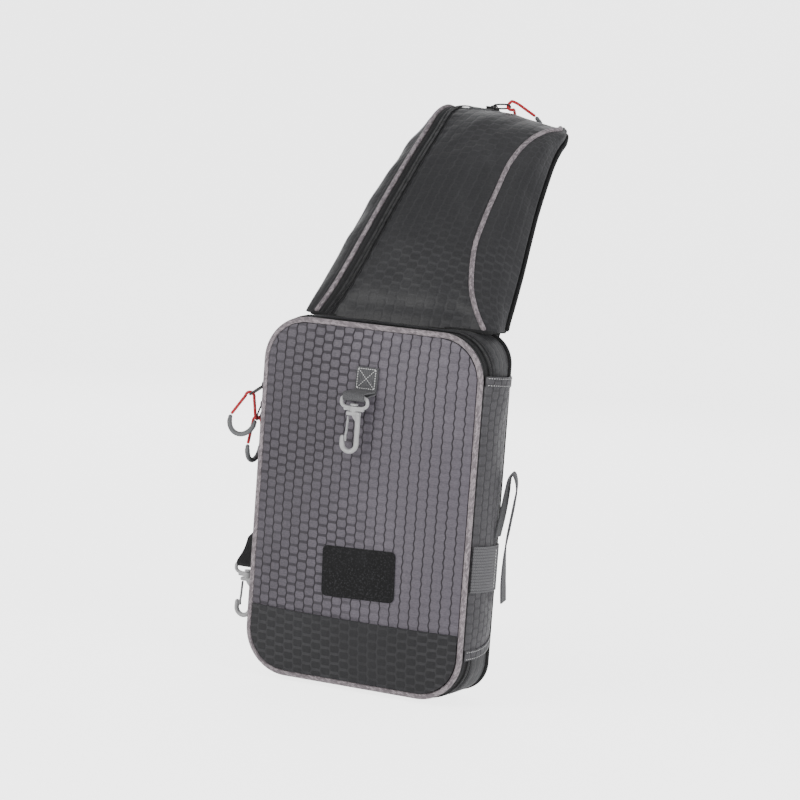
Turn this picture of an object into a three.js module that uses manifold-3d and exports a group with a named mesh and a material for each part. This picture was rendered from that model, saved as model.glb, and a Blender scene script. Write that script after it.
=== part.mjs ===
// A fishing tackle sling bag: a zipped cloth case with a wide shoulder strap that holds a pouch.
// Millimetres, +Z up, +X to the right of someone who looks at the front, which faces -Y.
// The model is built from the bottom middle of the bag's back, then moved so that its origin
// lies under the shoulder pad, where the bag hangs from a shoulder.
import * as THREE from "three";
import { mergeVertices } from "three/addons/utils/BufferGeometryUtils.js";
import Module from "manifold-3d";

const wasm = await Module();
wasm.setup();

// Bag body
const BAG_W = 205; // between the middles of the side pipings
const BAG_H = 314; // between the middles of the top and bottom pipings
const BAG_D = 60; // from the front piping to the back binding
const FRONT_CORNER = 38; // corner radius of the front piping
const BACK_CORNER = 26; // corner radius of the back binding
const PUFF = 2.5; // how far the stuffed sides stand out between the two edges
const CROWN = 8; // how far the stuffed front stands out in the middle
const CLOTH = 1.6; // thickness of the coated cloth with its lining
const GAP = 0.3; // between pieces that touch
const PIPING_D = 5.2;
const BINDING_D = 4.4;
const BASE_SEAM = 58; // height of the seam over the black base panel
const BACK_PAD = 6; // thickness of the padded back

// Main zipper
const ZIP_FRONT = 6.8; // from the front piping's middle to the tape
const ZIP_TAPE_W = 16;
const ZIP_COIL_W = 5.5;
const COIL_H = 1.4;
const ZIP_FOOT = 62; // half of the stretch along the bottom that has no coil

// Front patch, tab and snap hooks
const PATCH_W = 77;
const PATCH_H = 42;
const PATCH_T = 1.8;
const PATCH_CORNER = 5;
const PATCH_X = 10.5;
const PATCH_Z = 102.5;
const PATCH_TURN = 6; // degrees, the patch is sewn a little askew
const WEBBING = 1.6; // thickness of all webbing
const TAB_W = 20;
const TAB_X = 0.3;
const TAB_TOP = 280;
const TAB_SEWN = 21; // height of the sewn square
const HOOK_X = -4.7; // place of the front hook's shank
const HOOK_BAR_Z = 255; // height of the ring's upper bar
const HOOK_STAND = 12.6; // from the cloth to the shank's axis, so that the hook turns freely
const RING_W = 28;
const RING_H = 14.4;
const RING_T = 3.4;
const RING_BAR = 3; // height of the upper bar
const RING_SIDE = 3.2;
const RING_ROUND = 1; // corner radius of the ring's opening
const RING_FOOT = 4.5; // height of the lower bar, which the shank turns in
const SHANK_R = 1.8;
const SHANK_CLEAR = 0.3;
const HOOK_TOP_W = 13;
const HOOK_H = 37;
const HOOK_T = 5;
const HOOK_LEG = 4.4;
const HOOK_BEND = 9; // outer radius of the hook's bend
const SIDE_TAB_Y = -36;
const SIDE_HOOK_X = 17.5; // from the side seam out to the side hook's shank
const SIDE_BAR_Z = 87.8;
const SIDE_TAB_TOP = 126;

// Right side: pocket, band and utility strap
const POCKET_TOP = 283;
const POCKET_BOTTOM = 36;
const POCKET_STAND = 4.2; // room between the gusset and the pocket's cloth
const MOUTH_STAND = 7.5; // the same at the open mouth
const HEM_H = 9;
const BAND_Z = 112;
const BAND_H = 40;
const UTILITY_W = 20;

// Zip pulls
const CORD_D = 2.2;
const GRIP_D = 4.6;
const SLIDER_L = 13;
const SLIDER_W = 9;
const SLIDER_T = 4.2;
const BRIDGE_H = 4.4;
const BRIDGE_W = 3;
const BRIDGE_L = 8;
const BRIDGE_WALL = 1.3;
const PULL_W = 8;
const PULL_T = 1.5;
const PULL_BAR = 1.6;
const PULL_L = 15.8; // from the bridge to the middle of the pull's lower bar
const LOOP_END = 21; // from the pull's bar to the grip's ends
const LOOP_HALF = 12.5; // half the loop's width
const LOOP_BOW = 13.5; // depth of the grip's bow
const PULL_Z = 250; // height of the upper slider
const PULL_STEP = 17; // the lower slider sits this much lower

// Shoulder strap with its pouch
const PAD_W = 192; // width of the pad where it is sewn to the bag
const PAD_T = 5;
const STRAP_RISE = 157;
const STRAP_LEAN = 178;
const POUCH_T = 35.5; // most height of the pouch over the pad
const POUCH_CROWN = 5;
const STRAP_PIPING_D = 4.6;
const STRAP_ZIP_W = 19; // cloth edge, tape and coil beside the left piping
const TAPE_HALF = CLOTH / 2 - 0.3; // half the thickness of the strap zip's tape
const STRAP_COIL_W = 6;
const STRAP_TURN = 0.8; // share of the pouch where its zip begins to turn right
const STRAP_ZIP_END = -7; // x of the zip's end on top
const REAR_W = 38; // width of the rear webbing
const REAR_DROP = 289; // from the strap's foot down to the lower sewn end
const REAR_DEPTH = 232; // how far back the webbing hangs
const REAR_SIDE = 86; // how far the lower end is sewn from the middle
const BUCKLE_W = 50;
const BUCKLE_H = 27;
const BUCKLE_T = 3.4;
const BUCKLE_BAR = 4;
const BUCKLE_SHARE = 0.42; // where on the rear webbing the buckle sits
const LOOP_TAIL = 24; // length of webbing sewn back on itself

const COLOURS = {
  greyCloth: [0x6f6c72, 0.8],
  blackCloth: [0x2b2b2d, 0.85],
  piping: [0xa9a0a4, 0.85],
  tape: [0x242426, 0.9],
  coil: [0x151516, 0.5],
  webbing: [0x858589, 0.9],
  blackWebbing: [0x232325, 0.9],
  patch: [0x1e1e20, 0.7],
  plastic: [0xa7a8a9, 0.45],
  blackPlastic: [0x161617, 0.4],
  metal: [0x2c2d2f, 0.4],
  cord: [0xc8303a, 0.7],
  grip: [0x77797b, 0.6],
};

const bag = new THREE.Group();
const v = (x, y, z) => new THREE.Vector3(x, y, z);
const rad = THREE.MathUtils.degToRad;
const { lerp, clamp } = THREE.MathUtils;

function add(name, geometry, finish) {
  const [color, roughness] = COLOURS[finish];
  const mesh = new THREE.Mesh(geometry, new THREE.MeshStandardMaterial({ color, roughness }));
  mesh.name = name;
  bag.add(mesh);
  return mesh;
}

// Signed volume of a closed triangle list, to turn a shape's faces outwards.
function facedOut(points, faces) {
  let volume = 0;
  for (const [a, b, c] of faces) {
    volume += points[a].dot(points[b].clone().cross(points[c]));
  }
  const geometry = new THREE.BufferGeometry();
  geometry.setAttribute(
    "position",
    new THREE.Float32BufferAttribute(points.flatMap((p) => p.toArray()), 3),
  );
  geometry.setIndex((volume < 0 ? faces.map(([a, b, c]) => [a, c, b]) : faces).flat());
  return geometry;
}

// A slab between two grids of points, rows by columns, that may close on itself along a row.
function slab(outer, inner, ringed = false) {
  const rows = outer.length;
  const cols = outer[0].length;
  const points = [...outer.flat(), ...inner.flat()];
  const half = rows * cols;
  const faces = [];
  const quad = (a, b, c, d) => faces.push([a, b, c], [a, c, d]);
  const at = (i, j) => i * cols + (j % cols);
  const spans = ringed ? cols : cols - 1;
  for (let i = 0; i < rows - 1; i++) {
    for (let j = 0; j < spans; j++) {
      quad(at(i, j), at(i, j + 1), at(i + 1, j + 1), at(i + 1, j));
      quad(half + at(i, j), half + at(i + 1, j), half + at(i + 1, j + 1), half + at(i, j + 1));
    }
  }
  for (let j = 0; j < spans; j++) {
    const last = rows - 1;
    quad(at(0, j), half + at(0, j), half + at(0, j + 1), at(0, j + 1));
    quad(at(last, j), at(last, j + 1), half + at(last, j + 1), half + at(last, j));
  }
  if (!ringed) {
    const edge = cols - 1;
    for (let i = 0; i < rows - 1; i++) {
      quad(at(i, 0), at(i + 1, 0), half + at(i + 1, 0), half + at(i, 0));
      quad(at(i, edge), half + at(i, edge), half + at(i + 1, edge), at(i + 1, edge));
    }
  }
  return facedOut(points, faces);
}

// A round tube along points, closed on itself or with flat ends.
function tube(path, diameter, sides, ringed = false) {
  const count = path.length;
  const points = [];
  const faces = [];
  const tangent = (i) => {
    const before = ringed ? path[(i + count - 1) % count] : path[Math.max(0, i - 1)];
    const after = ringed ? path[(i + 1) % count] : path[Math.min(count - 1, i + 1)];
    return after.clone().sub(before).normalize();
  };
  // Carry one side direction along the path, so that the tube doesn't twist.
  let side = tangent(0).cross(v(0.31, 0.93, 0.17)).normalize();
  const sideways = path.map((_, i) => {
    const t = tangent(i);
    side = side.clone().sub(t.clone().multiplyScalar(side.dot(t))).normalize();
    return side;
  });
  path.forEach((p, i) => {
    const up = tangent(i).cross(sideways[i]).normalize();
    for (let k = 0; k < sides; k++) {
      const angle = (2 * Math.PI * k) / sides;
      points.push(
        p.clone()
          .addScaledVector(sideways[i], (Math.cos(angle) * diameter) / 2)
          .addScaledVector(up, (Math.sin(angle) * diameter) / 2),
      );
    }
  });
  const spans = ringed ? count : count - 1;
  // Where a closed tube meets its start, match the side that lies nearest.
  let shift = 0;
  if (ringed) {
    const start = points[(count - 1) * sides];
    let best = Infinity;
    for (let k = 0; k < sides; k++) {
      const away = start.distanceTo(points[k]);
      if (away < best) {
        best = away;
        shift = k;
      }
    }
  }
  for (let i = 0; i < spans; i++) {
    const turn = i === count - 1 ? shift : 0;
    const next = (i + 1) % count;
    for (let k = 0; k < sides; k++) {
      const a = i * sides + k;
      const b = i * sides + ((k + 1) % sides);
      const c = next * sides + ((k + 1 + turn) % sides);
      const d = next * sides + ((k + turn) % sides);
      faces.push([a, b, c], [a, c, d]);
    }
  }
  if (!ringed) {
    const last = (count - 1) * sides;
    for (let k = 1; k < sides - 1; k++) {
      faces.push([0, k + 1, k], [last, last + k, last + k + 1]);
    }
  }
  return facedOut(points, faces);
}

// A flat strip of webbing along points: its width runs along one axis, and lefts and rights
// give how far each row reaches along it.
function ribbon(path, across, lefts, rights, thickness, columns = 2) {
  const outer = [];
  const inner = [];
  path.forEach((p, i) => {
    const before = path[Math.max(0, i - 1)];
    const after = path[Math.min(path.length - 1, i + 1)];
    const normal = after.clone().sub(before).cross(across).normalize();
    const rowOut = [];
    const rowIn = [];
    for (let j = 0; j < columns; j++) {
      const reach = lerp(lefts[i], rights[i], j / (columns - 1));
      const q = p.clone().addScaledVector(across, reach);
      rowOut.push(q.clone().addScaledVector(normal, thickness / 2));
      rowIn.push(q.clone().addScaledVector(normal, -thickness / 2));
    }
    outer.push(rowOut);
    inner.push(rowIn);
  });
  return slab(outer, inner);
}
const evenRibbon = (path, across, width, thickness) =>
  ribbon(path, across, path.map(() => -width / 2), path.map(() => width / 2), thickness);

function smooth(points, count) {
  return new THREE.CatmullRomCurve3(points, false, "centripetal").getPoints(count);
}

// A solid for adding and cutting.
function solid(geometry) {
  const bare = geometry.index ? geometry.toNonIndexed() : geometry.clone();
  bare.deleteAttribute("normal");
  bare.deleteAttribute("uv");
  const merged = mergeVertices(bare, 1e-4);
  return new wasm.Manifold(
    new wasm.Mesh({
      numProp: 3,
      vertProperties: merged.attributes.position.array,
      triVerts: new Uint32Array(merged.index.array),
    }),
  );
}
function geometryOf(made) {
  const mesh = made.getMesh();
  const geometry = new THREE.BufferGeometry();
  geometry.setAttribute("position", new THREE.Float32BufferAttribute(mesh.vertProperties, 3));
  geometry.setIndex(Array.from(mesh.triVerts));
  return geometry;
}

// The bag's skin

const puffAt = (y) => PUFF * Math.sin(Math.PI * clamp(-y / BAG_D, 0, 1));
const cornerAt = (y) => lerp(BACK_CORNER, FRONT_CORNER, clamp(-y / BAG_D, 0, 1));

// A closed outline of the bag at depth y, let in by a margin all round.
function outline(y, margin) {
  const grow = puffAt(y) - margin;
  const x1 = BAG_W / 2 + grow;
  const z0 = -grow;
  const z1 = BAG_H + grow;
  const r = Math.max(1, cornerAt(y) + grow);
  const arc = 6;
  const corners = [
    [x1 - r, z0 + r, -90, 5],
    [x1 - r, z1 - r, 0, 3],
    [r - x1, z1 - r, 90, 5],
    [r - x1, z0 + r, 180, 3],
  ];
  const points = [];
  corners.forEach(([cx, cz, start, between], c) => {
    for (let k = 0; k <= arc; k++) {
      const angle = rad(start + (90 * k) / arc);
      points.push(v(cx + r * Math.cos(angle), y, cz + r * Math.sin(angle)));
    }
    const here = points[points.length - 1];
    const [nx, nz, next] = corners[(c + 1) % 4];
    const there = v(nx + r * Math.cos(rad(next)), y, nz + r * Math.sin(rad(next)));
    for (let k = 1; k < between; k++) {
      points.push(here.clone().lerp(there, k / between));
    }
  });
  return points;
}

// A belt of cloth round the bag between two depths.
function belt(front, back, steps, lift = 0, thickness = CLOTH) {
  const depths = Array.from({ length: steps + 1 }, (_, i) => lerp(front, back, i / steps));
  return slab(
    depths.map((y) => outline(y, -lift)),
    depths.map((y) => outline(y, thickness - lift)),
    true,
  );
}

const PANEL_IN = PIPING_D / 2 + GAP; // the panels end inside the piping
const frontHalf = BAG_W / 2 - PANEL_IN;
const frontLow = PANEL_IN;
const frontHigh = BAG_H - PANEL_IN;

// How far the front panel reaches sideways at a height, round its corners.
function frontReach(z) {
  const r = FRONT_CORNER - PANEL_IN;
  const over = Math.max(0, z - (frontHigh - r), frontLow + r - z);
  return frontHalf - r + Math.sqrt(Math.max(0, r * r - over * over));
}

// The front cloth's outer face, stuffed out between its edges.
function frontFace(x, z) {
  const sideways = 1 - Math.pow(Math.min(1, Math.abs(x) / frontHalf), 2.6);
  const middle = (frontLow + frontHigh) / 2;
  const upright = 1 - Math.pow(Math.min(1, Math.abs(z - middle) / (frontHigh - middle)), 5);
  return -BAG_D - 0.6 - CROWN * sideways * upright;
}

function frontSheet(low, high, heights) {
  const columns = 10;
  const outer = [];
  const inner = [];
  for (const share of heights) {
    const z = lerp(low, high, share);
    const reach = frontReach(z);
    const rowOut = [];
    const rowIn = [];
    for (let j = 0; j <= columns; j++) {
      const x = lerp(-reach, reach, j / columns);
      rowOut.push(v(x, frontFace(x, z), z));
      rowIn.push(v(x, frontFace(x, z) + CLOTH, z));
    }
    outer.push(rowOut);
    inner.push(rowIn);
  }
  return slab(outer, inner);
}

function body() {
  const upper = [0, 0.14, 0.3, 0.46, 0.6, 0.72, 0.82, 0.87, 0.91, 0.95, 0.98, 1];
  add("front_panel", frontSheet(BASE_SEAM + GAP / 2, frontHigh, upper), "greyCloth");
  const lower = [0, 0.05, 0.13, 0.25, 0.42, 0.6, 0.8, 1];
  add("base_panel", frontSheet(frontLow, BASE_SEAM - GAP / 2, lower), "blackCloth");
  add("front_piping", tube(outline(-BAG_D, 0), PIPING_D, 8, true), "piping");

  const bandFront = -BAG_D + PIPING_D / 2 + GAP;
  const tapeFront = -BAG_D + ZIP_FRONT;
  const tapeBack = tapeFront + ZIP_TAPE_W;
  const gussetBack = -BINDING_D / 2 - GAP;
  add("front_band", belt(bandFront, tapeFront - GAP, 1), "blackCloth");
  add("zip_tape", belt(tapeFront, tapeBack, 1, -0.3, CLOTH - 0.3), "tape");
  add("main_gusset", belt(tapeBack + GAP, gussetBack, 2), "blackCloth");
  add("back_binding", tube(outline(0, 0), BINDING_D, 6, true), "tape");
  add("zip_coil", zipCoil((tapeFront + tapeBack) / 2), "coil");
  add("back_panel", backPad(), "blackCloth");
}

// The coil runs round the sides and the top, and leaves the middle of the bottom free.
function zipCoil(middle) {
  const depths = [middle - ZIP_COIL_W / 2, middle + ZIP_COIL_W / 2];
  const loop = (y, up) => {
    const ring = outline(y, -up);
    const open = ring.filter((p) => p.z > BAG_H / 2 || Math.abs(p.x) > ZIP_FOOT);
    const start = open.findIndex((p, i) => {
      const next = open[(i + 1) % open.length];
      return p.z < BAG_H / 2 && p.x < 0 && next.x > 0;
    });
    return [...open.slice(start + 1), ...open.slice(0, start + 1)];
  };
  return slab(
    depths.map((y) => loop(y, COIL_H)),
    depths.map((y) => loop(y, 0)),
  );
}

// The padded back: flat inside, swelling to a flat plateau outside.
const backEdge = BINDING_D / 2 + GAP;
function backRings() {
  return [0, 10, 22, 48, 80].map((inset) => {
    const share = Math.min(1, inset / 22);
    const level = lerp(1, BACK_PAD, Math.sin((share * Math.PI) / 2));
    return outline(0, backEdge + inset).map((p) => v(p.x, level, p.z));
  });
}

function backPad() {
  const rings = backRings();
  const count = rings[0].length;
  const points = rings.flat();
  const faces = [];
  for (let i = 0; i < rings.length - 1; i++) {
    for (let k = 0; k < count; k++) {
      const a = i * count + k;
      const b = i * count + ((k + 1) % count);
      faces.push([a, b, b + count], [a, b + count, a + count]);
    }
  }
  const centre = points.length;
  points.push(v(0, BACK_PAD, BAG_H / 2));
  const last = (rings.length - 1) * count;
  for (let k = 0; k < count; k++) {
    faces.push([last + k, last + ((k + 1) % count), centre]);
  }
  const flat = points.length;
  rings[0].forEach((p) => points.push(v(p.x, -1.2, p.z)));
  const hub = points.length;
  points.push(v(0, -1.2, BAG_H / 2));
  for (let k = 0; k < count; k++) {
    const next = (k + 1) % count;
    faces.push([k, flat + k, flat + next], [k, flat + next, next]);
    faces.push([flat + k, hub, flat + next]);
  }
  return facedOut(points, faces);
}

// The bare patch on the front, a rounded plate that follows the stuffed cloth.
function patch() {
  const turn = rad(PATCH_TURN);
  const place = (px, pz, lift) => {
    const x = PATCH_X + px * Math.cos(turn) - pz * Math.sin(turn);
    const z = PATCH_Z + px * Math.sin(turn) + pz * Math.cos(turn);
    return v(x, frontFace(x, z) - lift, z);
  };
  const rows = [-1, -0.94, -0.8, 0, 0.8, 0.94, 1];
  const reach = (pz) => {
    const over = Math.max(0, Math.abs(pz) - (PATCH_H / 2 - PATCH_CORNER));
    return PATCH_W / 2 - PATCH_CORNER + Math.sqrt(Math.max(0, PATCH_CORNER ** 2 - over ** 2));
  };
  const sheet = (lift) =>
    rows.map((share) => {
      const pz = (share * PATCH_H) / 2;
      return Array.from({ length: 7 }, (_, j) => place(lerp(-1, 1, j / 6) * reach(pz), pz, lift));
    });
  const clear = GAP + 0.25; // the sheet's flat facets stand off the curve
  add("front_patch", slab(sheet(clear + PATCH_T), sheet(clear)), "patch");
}

// Swivel ring: a flat oval whose lower bar is bored for the hook's shank. Its upper bar's middle
// is at the origin, and the shank's axis is Z.
const ringTop = RING_BAR / 2;
const ringLow = ringTop - RING_H;
const hookTop = ringLow - SHANK_CLEAR;
function ringShape(halfWidth, low, high, round) {
  const shape = new THREE.Shape();
  shape.moveTo(halfWidth - round, low);
  shape.absarc(halfWidth - round, low + round, round, -Math.PI / 2, 0, false);
  shape.absarc(halfWidth - round, high - round, round, 0, Math.PI / 2, false);
  shape.absarc(round - halfWidth, high - round, round, Math.PI / 2, Math.PI, false);
  shape.absarc(round - halfWidth, low + round, round, Math.PI, 1.5 * Math.PI, false);
  return shape;
}
// An outline in X and Z made as thick as given along Y, its middle at y = 0.
function plate(shape, thickness, bevel = 0, arcs = 2) {
  const geometry = new THREE.ExtrudeGeometry(shape, {
    depth: thickness - 2 * bevel,
    bevelEnabled: bevel > 0,
    bevelSize: bevel,
    bevelOffset: -bevel,
    bevelThickness: bevel,
    bevelSegments: 1,
    curveSegments: arcs,
  });
  geometry.translate(0, 0, bevel - thickness / 2);
  geometry.rotateX(Math.PI / 2);
  return geometry;
}
function upright(radius, length, z, sides = 12) {
  const geometry = new THREE.CylinderGeometry(radius, radius, length, sides);
  geometry.rotateX(Math.PI / 2);
  geometry.translate(0, 0, z + length / 2);
  return geometry;
}
function swivelRing() {
  const shape = ringShape(RING_W / 2, ringLow, ringTop, RING_H * 0.42);
  const innerLow = ringLow + RING_FOOT;
  const innerHigh = ringTop - RING_BAR;
  shape.holes.push(ringShape(RING_W / 2 - RING_SIDE, innerLow, innerHigh, RING_ROUND));
  const boss = solid(upright(SHANK_R + 2, RING_FOOT, ringLow));
  const bore = solid(upright(SHANK_R + SHANK_CLEAR, RING_FOOT + 2, ringLow - 1));
  return geometryOf(solid(plate(shape, RING_T, 0.5)).add(boss).subtract(bore));
}

// The hook hangs from its shank, whose head keeps it in the ring. Its leg is on the +X side.
const legOut = HOOK_TOP_W / 2;
const bendX = legOut - HOOK_BEND;
const bendZ = hookTop - HOOK_H + HOOK_BEND;
const hookBar = 3.5;
function hookBody() {
  const inside = HOOK_BEND - HOOK_LEG;
  const shape = new THREE.Shape();
  shape.moveTo(-legOut, hookTop);
  shape.lineTo(-legOut, hookTop - hookBar);
  shape.lineTo(legOut - HOOK_LEG - 1.4, hookTop - hookBar);
  shape.lineTo(legOut - HOOK_LEG, hookTop - hookBar - 1.4);
  shape.lineTo(legOut - HOOK_LEG, bendZ);
  shape.absarc(bendX, bendZ, inside, 0, -Math.PI, true);
  shape.lineTo(bendX - inside, bendZ + 4);
  shape.lineTo(bendX - inside - 1.2, bendZ + 7.4);
  shape.lineTo(bendX - HOOK_BEND + 0.8, bendZ + 7.4);
  shape.lineTo(bendX - HOOK_BEND, bendZ + 5);
  shape.absarc(bendX, bendZ, HOOK_BEND, Math.PI, 2 * Math.PI, false);
  shape.lineTo(legOut, hookTop);
  const frame = solid(plate(shape, HOOK_T, 0.7, 4));
  const shank = solid(upright(SHANK_R, RING_FOOT + SHANK_CLEAR * 2 + 1, hookTop - 0.5));
  const head = solid(upright(SHANK_R + 1.7, 1.9, ringLow + RING_FOOT + SHANK_CLEAR));
  return geometryOf(frame.add(shank).add(head));
}
// The thin sprung gate, from the top bar down to the inside of the hook's tip.
function hookGate() {
  const tip = bendX - HOOK_BEND + HOOK_LEG + GAP;
  const shape = new THREE.Shape();
  const top = hookTop - hookBar - GAP;
  shape.moveTo(-legOut + 0.6, top);
  shape.lineTo(tip, bendZ + 4.4);
  shape.lineTo(tip, bendZ + 1.4);
  shape.lineTo(tip + 1.1, bendZ + 1.4);
  shape.lineTo(tip + 1.3, bendZ + 5);
  shape.lineTo(-legOut + 2, top);
  return plate(shape, HOOK_T - 1);
}
function snapHook(prefix, place) {
  for (const [name, make] of [["ring", swivelRing], ["hook", hookBody], ["gate", hookGate]]) {
    const mesh = add(prefix + "_" + name, make(), "plastic");
    mesh.position.copy(place);
  }
}

// Webbing folded round a bar along X: points from above on the front side, round below the bar
// and back up behind, with the bar's middle at (y, z) = (0, 0).
const barLoop = Math.hypot(RING_BAR, RING_T) / 2 + GAP + WEBBING / 2;
function roundBar(from, to, steps = 6) {
  return Array.from({ length: steps + 1 }, (_, i) => {
    const angle = rad(lerp(from, to, i / steps));
    return [Math.cos(angle) * barLoop, Math.sin(angle) * barLoop];
  });
}
function frontTab() {
  const across = v(1, 0, 0);
  const barY = hookAxisY();
  const faceY = (z) => frontFace(TAB_X, z) - GAP - 0.2 - WEBBING / 2;
  const sewn = TAB_TOP - TAB_SEWN;
  const layer = WEBBING + GAP;
  const rows = [];
  const row = (y, z, share) => rows.push(v(lerp(TAB_X, HOOK_X, share), y, z));
  row(faceY(TAB_TOP) - layer, TAB_TOP, 0);
  row(faceY(TAB_TOP - 10) - layer, TAB_TOP - 10, 0);
  row(faceY(sewn) - layer, sewn + 1, 0.1);
  row(lerp(faceY(sewn), barY, 0.35) - layer, HOOK_BAR_Z + 3.6, 0.5);
  for (const [y, z] of roundBar(120, 340)) {
    row(barY + y, HOOK_BAR_Z + z, 1);
  }
  row(lerp(faceY(sewn), barY, 0.3), HOOK_BAR_Z + 1.1, 0.5);
  row(faceY(sewn), sewn - 0.6, 0.1);
  row(faceY(TAB_TOP - 10), TAB_TOP - 10, 0);
  row(faceY(TAB_TOP), TAB_TOP, 0);
  add("front_tab", evenRibbon(rows, across, TAB_W, WEBBING), "webbing");
}
const hookAxisY = () => frontFace(TAB_X, HOOK_BAR_Z) - HOOK_STAND;

// The side tab is sewn into the seam like a fin and narrows up to its point.
const sideHookX = -(BAG_W / 2 + SIDE_HOOK_X);
function sideTab() {
  const seam = -(BAG_W / 2 + puffAt(SIDE_TAB_Y) + GAP);
  const rows = [];
  const lefts = [];
  const rights = [];
  const row = (y, z, left, right) => {
    rows.push(v(0, SIDE_TAB_Y + y, z));
    lefts.push(left);
    rights.push(right);
  };
  const low = sideHookX - TAB_W / 2;
  const high = sideHookX + TAB_W / 2;
  const half = (WEBBING + GAP) / 2;
  const fin = SIDE_TAB_TOP - SIDE_BAR_Z;
  const widths = [
    [1, seam - 2, seam],
    [0.6, lerp(seam, low, 0.5), seam],
    [0.28, lerp(seam, low, 0.85), seam],
  ];
  for (const [share, left, right] of widths) {
    row(-half, SIDE_BAR_Z + fin * share, left, right);
  }
  for (const [y, z] of roundBar(150, 390)) {
    row(y, SIDE_BAR_Z + z, low, high);
  }
  for (const [share, left, right] of widths.reverse()) {
    row(half, SIDE_BAR_Z + fin * share, left, right);
  }
  add("side_tab", ribbon(rows, v(1, 0, 0), lefts, rights, WEBBING), "webbing");
}

// Right side

const sideFace = (y, lift) => BAG_W / 2 + puffAt(y) + lift;
const pocketFront = -BAG_D + PIPING_D / 2 + 0.8;
const pocketBack = -BINDING_D / 2 - 0.6;

// The pocket's cloth arches over the gusset between its two sewn edges and gapes at the mouth.
function pocketLift(y, z) {
  const share = (y - pocketFront) / (pocketBack - pocketFront);
  const gape = THREE.MathUtils.smoothstep(z, POCKET_TOP - 45, POCKET_TOP);
  const shut = THREE.MathUtils.smoothstep(z, POCKET_BOTTOM, POCKET_BOTTOM + 40);
  const stand = lerp(POCKET_STAND, MOUTH_STAND, gape) * lerp(0.55, 1, shut);
  return GAP + stand * Math.pow(Math.sin(Math.PI * share), 0.75);
}
const pocketColumns = [0, 0.08, 0.25, 0.5, 0.75, 0.92, 1];
function pocketSheet(lowAt, highAt, rows, lift, thickness) {
  const sheet = (extra) =>
    Array.from({ length: rows + 1 }, (_, i) =>
      pocketColumns.map((share) => {
        const y = lerp(pocketFront, pocketBack, share);
        const z = lerp(lowAt(share), highAt(share), i / rows);
        return v(sideFace(y, pocketLift(y, z) + lift + extra), y, z);
      }),
    );
  return slab(sheet(thickness), sheet(0));
}
const hemTop = (share) => POCKET_TOP - 3 * share;
const hemFoot = (share) => POCKET_BOTTOM + 8 * share ** 3;
function pocket() {
  const under = (edge, drop) => (share) => edge(share) + drop;
  add(
    "side_pocket",
    pocketSheet(under(hemFoot, HEM_H + GAP), under(hemTop, -HEM_H - GAP), 9, 0, CLOTH),
    "greyCloth",
  );
  add("pocket_hem", pocketSheet(under(hemTop, -HEM_H), hemTop, 1, 0, CLOTH + 0.8), "greyCloth");
  add("pocket_foot", pocketSheet(hemFoot, under(hemFoot, HEM_H), 1, 0, CLOTH + 0.8), "greyCloth");
}

// The webbing band is drawn round the pocket, and the utility strap stands at its rear end.
function band() {
  const clear = CLOTH + GAP + 0.2;
  const rows = [0, 0.08, 0.25, 0.5, 0.75, 0.92, 1].map((share) => {
    const y = lerp(pocketFront, pocketBack, share);
    return v(sideFace(y, pocketLift(y, BAND_Z) + clear + WEBBING / 2), y, BAND_Z - 3 * share);
  });
  add("side_band", evenRibbon(rows, v(0, 0, 1), BAND_H, WEBBING), "webbing");
}
function utilityStrap() {
  // Columns: how far out from the rear corner, how far forward of it, height, turn of the width
  // away from Y in degrees, and the width as a share.
  const route = [
    [8.6, 0, 74, 12, 1], [7.8, 0, 88, 12, 1], [7.2, 0, 102, 14, 1], [7.0, 0, 128, 18, 1],
    [9.5, 0, 150, 22, 1], [12, 0, 170, 24, 1], [13, 0, 182, 24, 1], [11.4, 0, 191, 24, 1],
    [8.6, 0, 195, 22, 1], [6.4, 1, 190, 18, 1], [6.0, 3, 180, 14, 0.95], [6.2, 7, 168, 8, 0.85],
    [6.6, 12, 157, 4, 0.75], [7.0, 17, 148, 0, 0.65], [7.0, 20, 141, 0, 0.6],
  ];
  const corner = BAG_W / 2 + PUFF;
  const rows = [];
  const acrosses = [];
  const halves = [];
  for (const [out, forward, z, turn, share] of route) {
    const y = -1 + 0.41 * out - forward;
    const clear = sideFace(y, pocketLift(y, z) + CLOTH + GAP + WEBBING / 2 + 0.15);
    const onPocket = forward > 15 ? clear : 0;
    rows.push(v(Math.max(corner + 0.91 * out, onPocket), y, z));
    acrosses.push(v(-Math.sin(rad(turn)), Math.cos(rad(turn)), 0));
    halves.push((UTILITY_W / 2) * share);
  }
  const outer = [];
  const inner = [];
  rows.forEach((p, i) => {
    const along = rows[Math.min(rows.length - 1, i + 1)].clone().sub(rows[Math.max(0, i - 1)]);
    const normal = along.cross(acrosses[i]).setY(0).normalize();
    const side = (lift) =>
      [-1, 1].map((edge) =>
        p.clone().addScaledVector(acrosses[i], edge * halves[i]).addScaledVector(normal, lift),
      );
    outer.push(side(WEBBING / 2));
    inner.push(side(-WEBBING / 2));
  });
  add("utility_strap", slab(outer, inner), "webbing");
}

// Zip pulls

const zipMiddle = -BAG_D + ZIP_FRONT + ZIP_TAPE_W / 2;
// The slider's shape with its bridge, and the ring-shaped pull that hangs in the bridge. Both are
// made with the zip along Z and the slider's top facing +Y.
const sliderBase = COIL_H + GAP;
const bridgeMiddle = sliderBase + SLIDER_T + (BRIDGE_H - BRIDGE_WALL) / 2;

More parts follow.
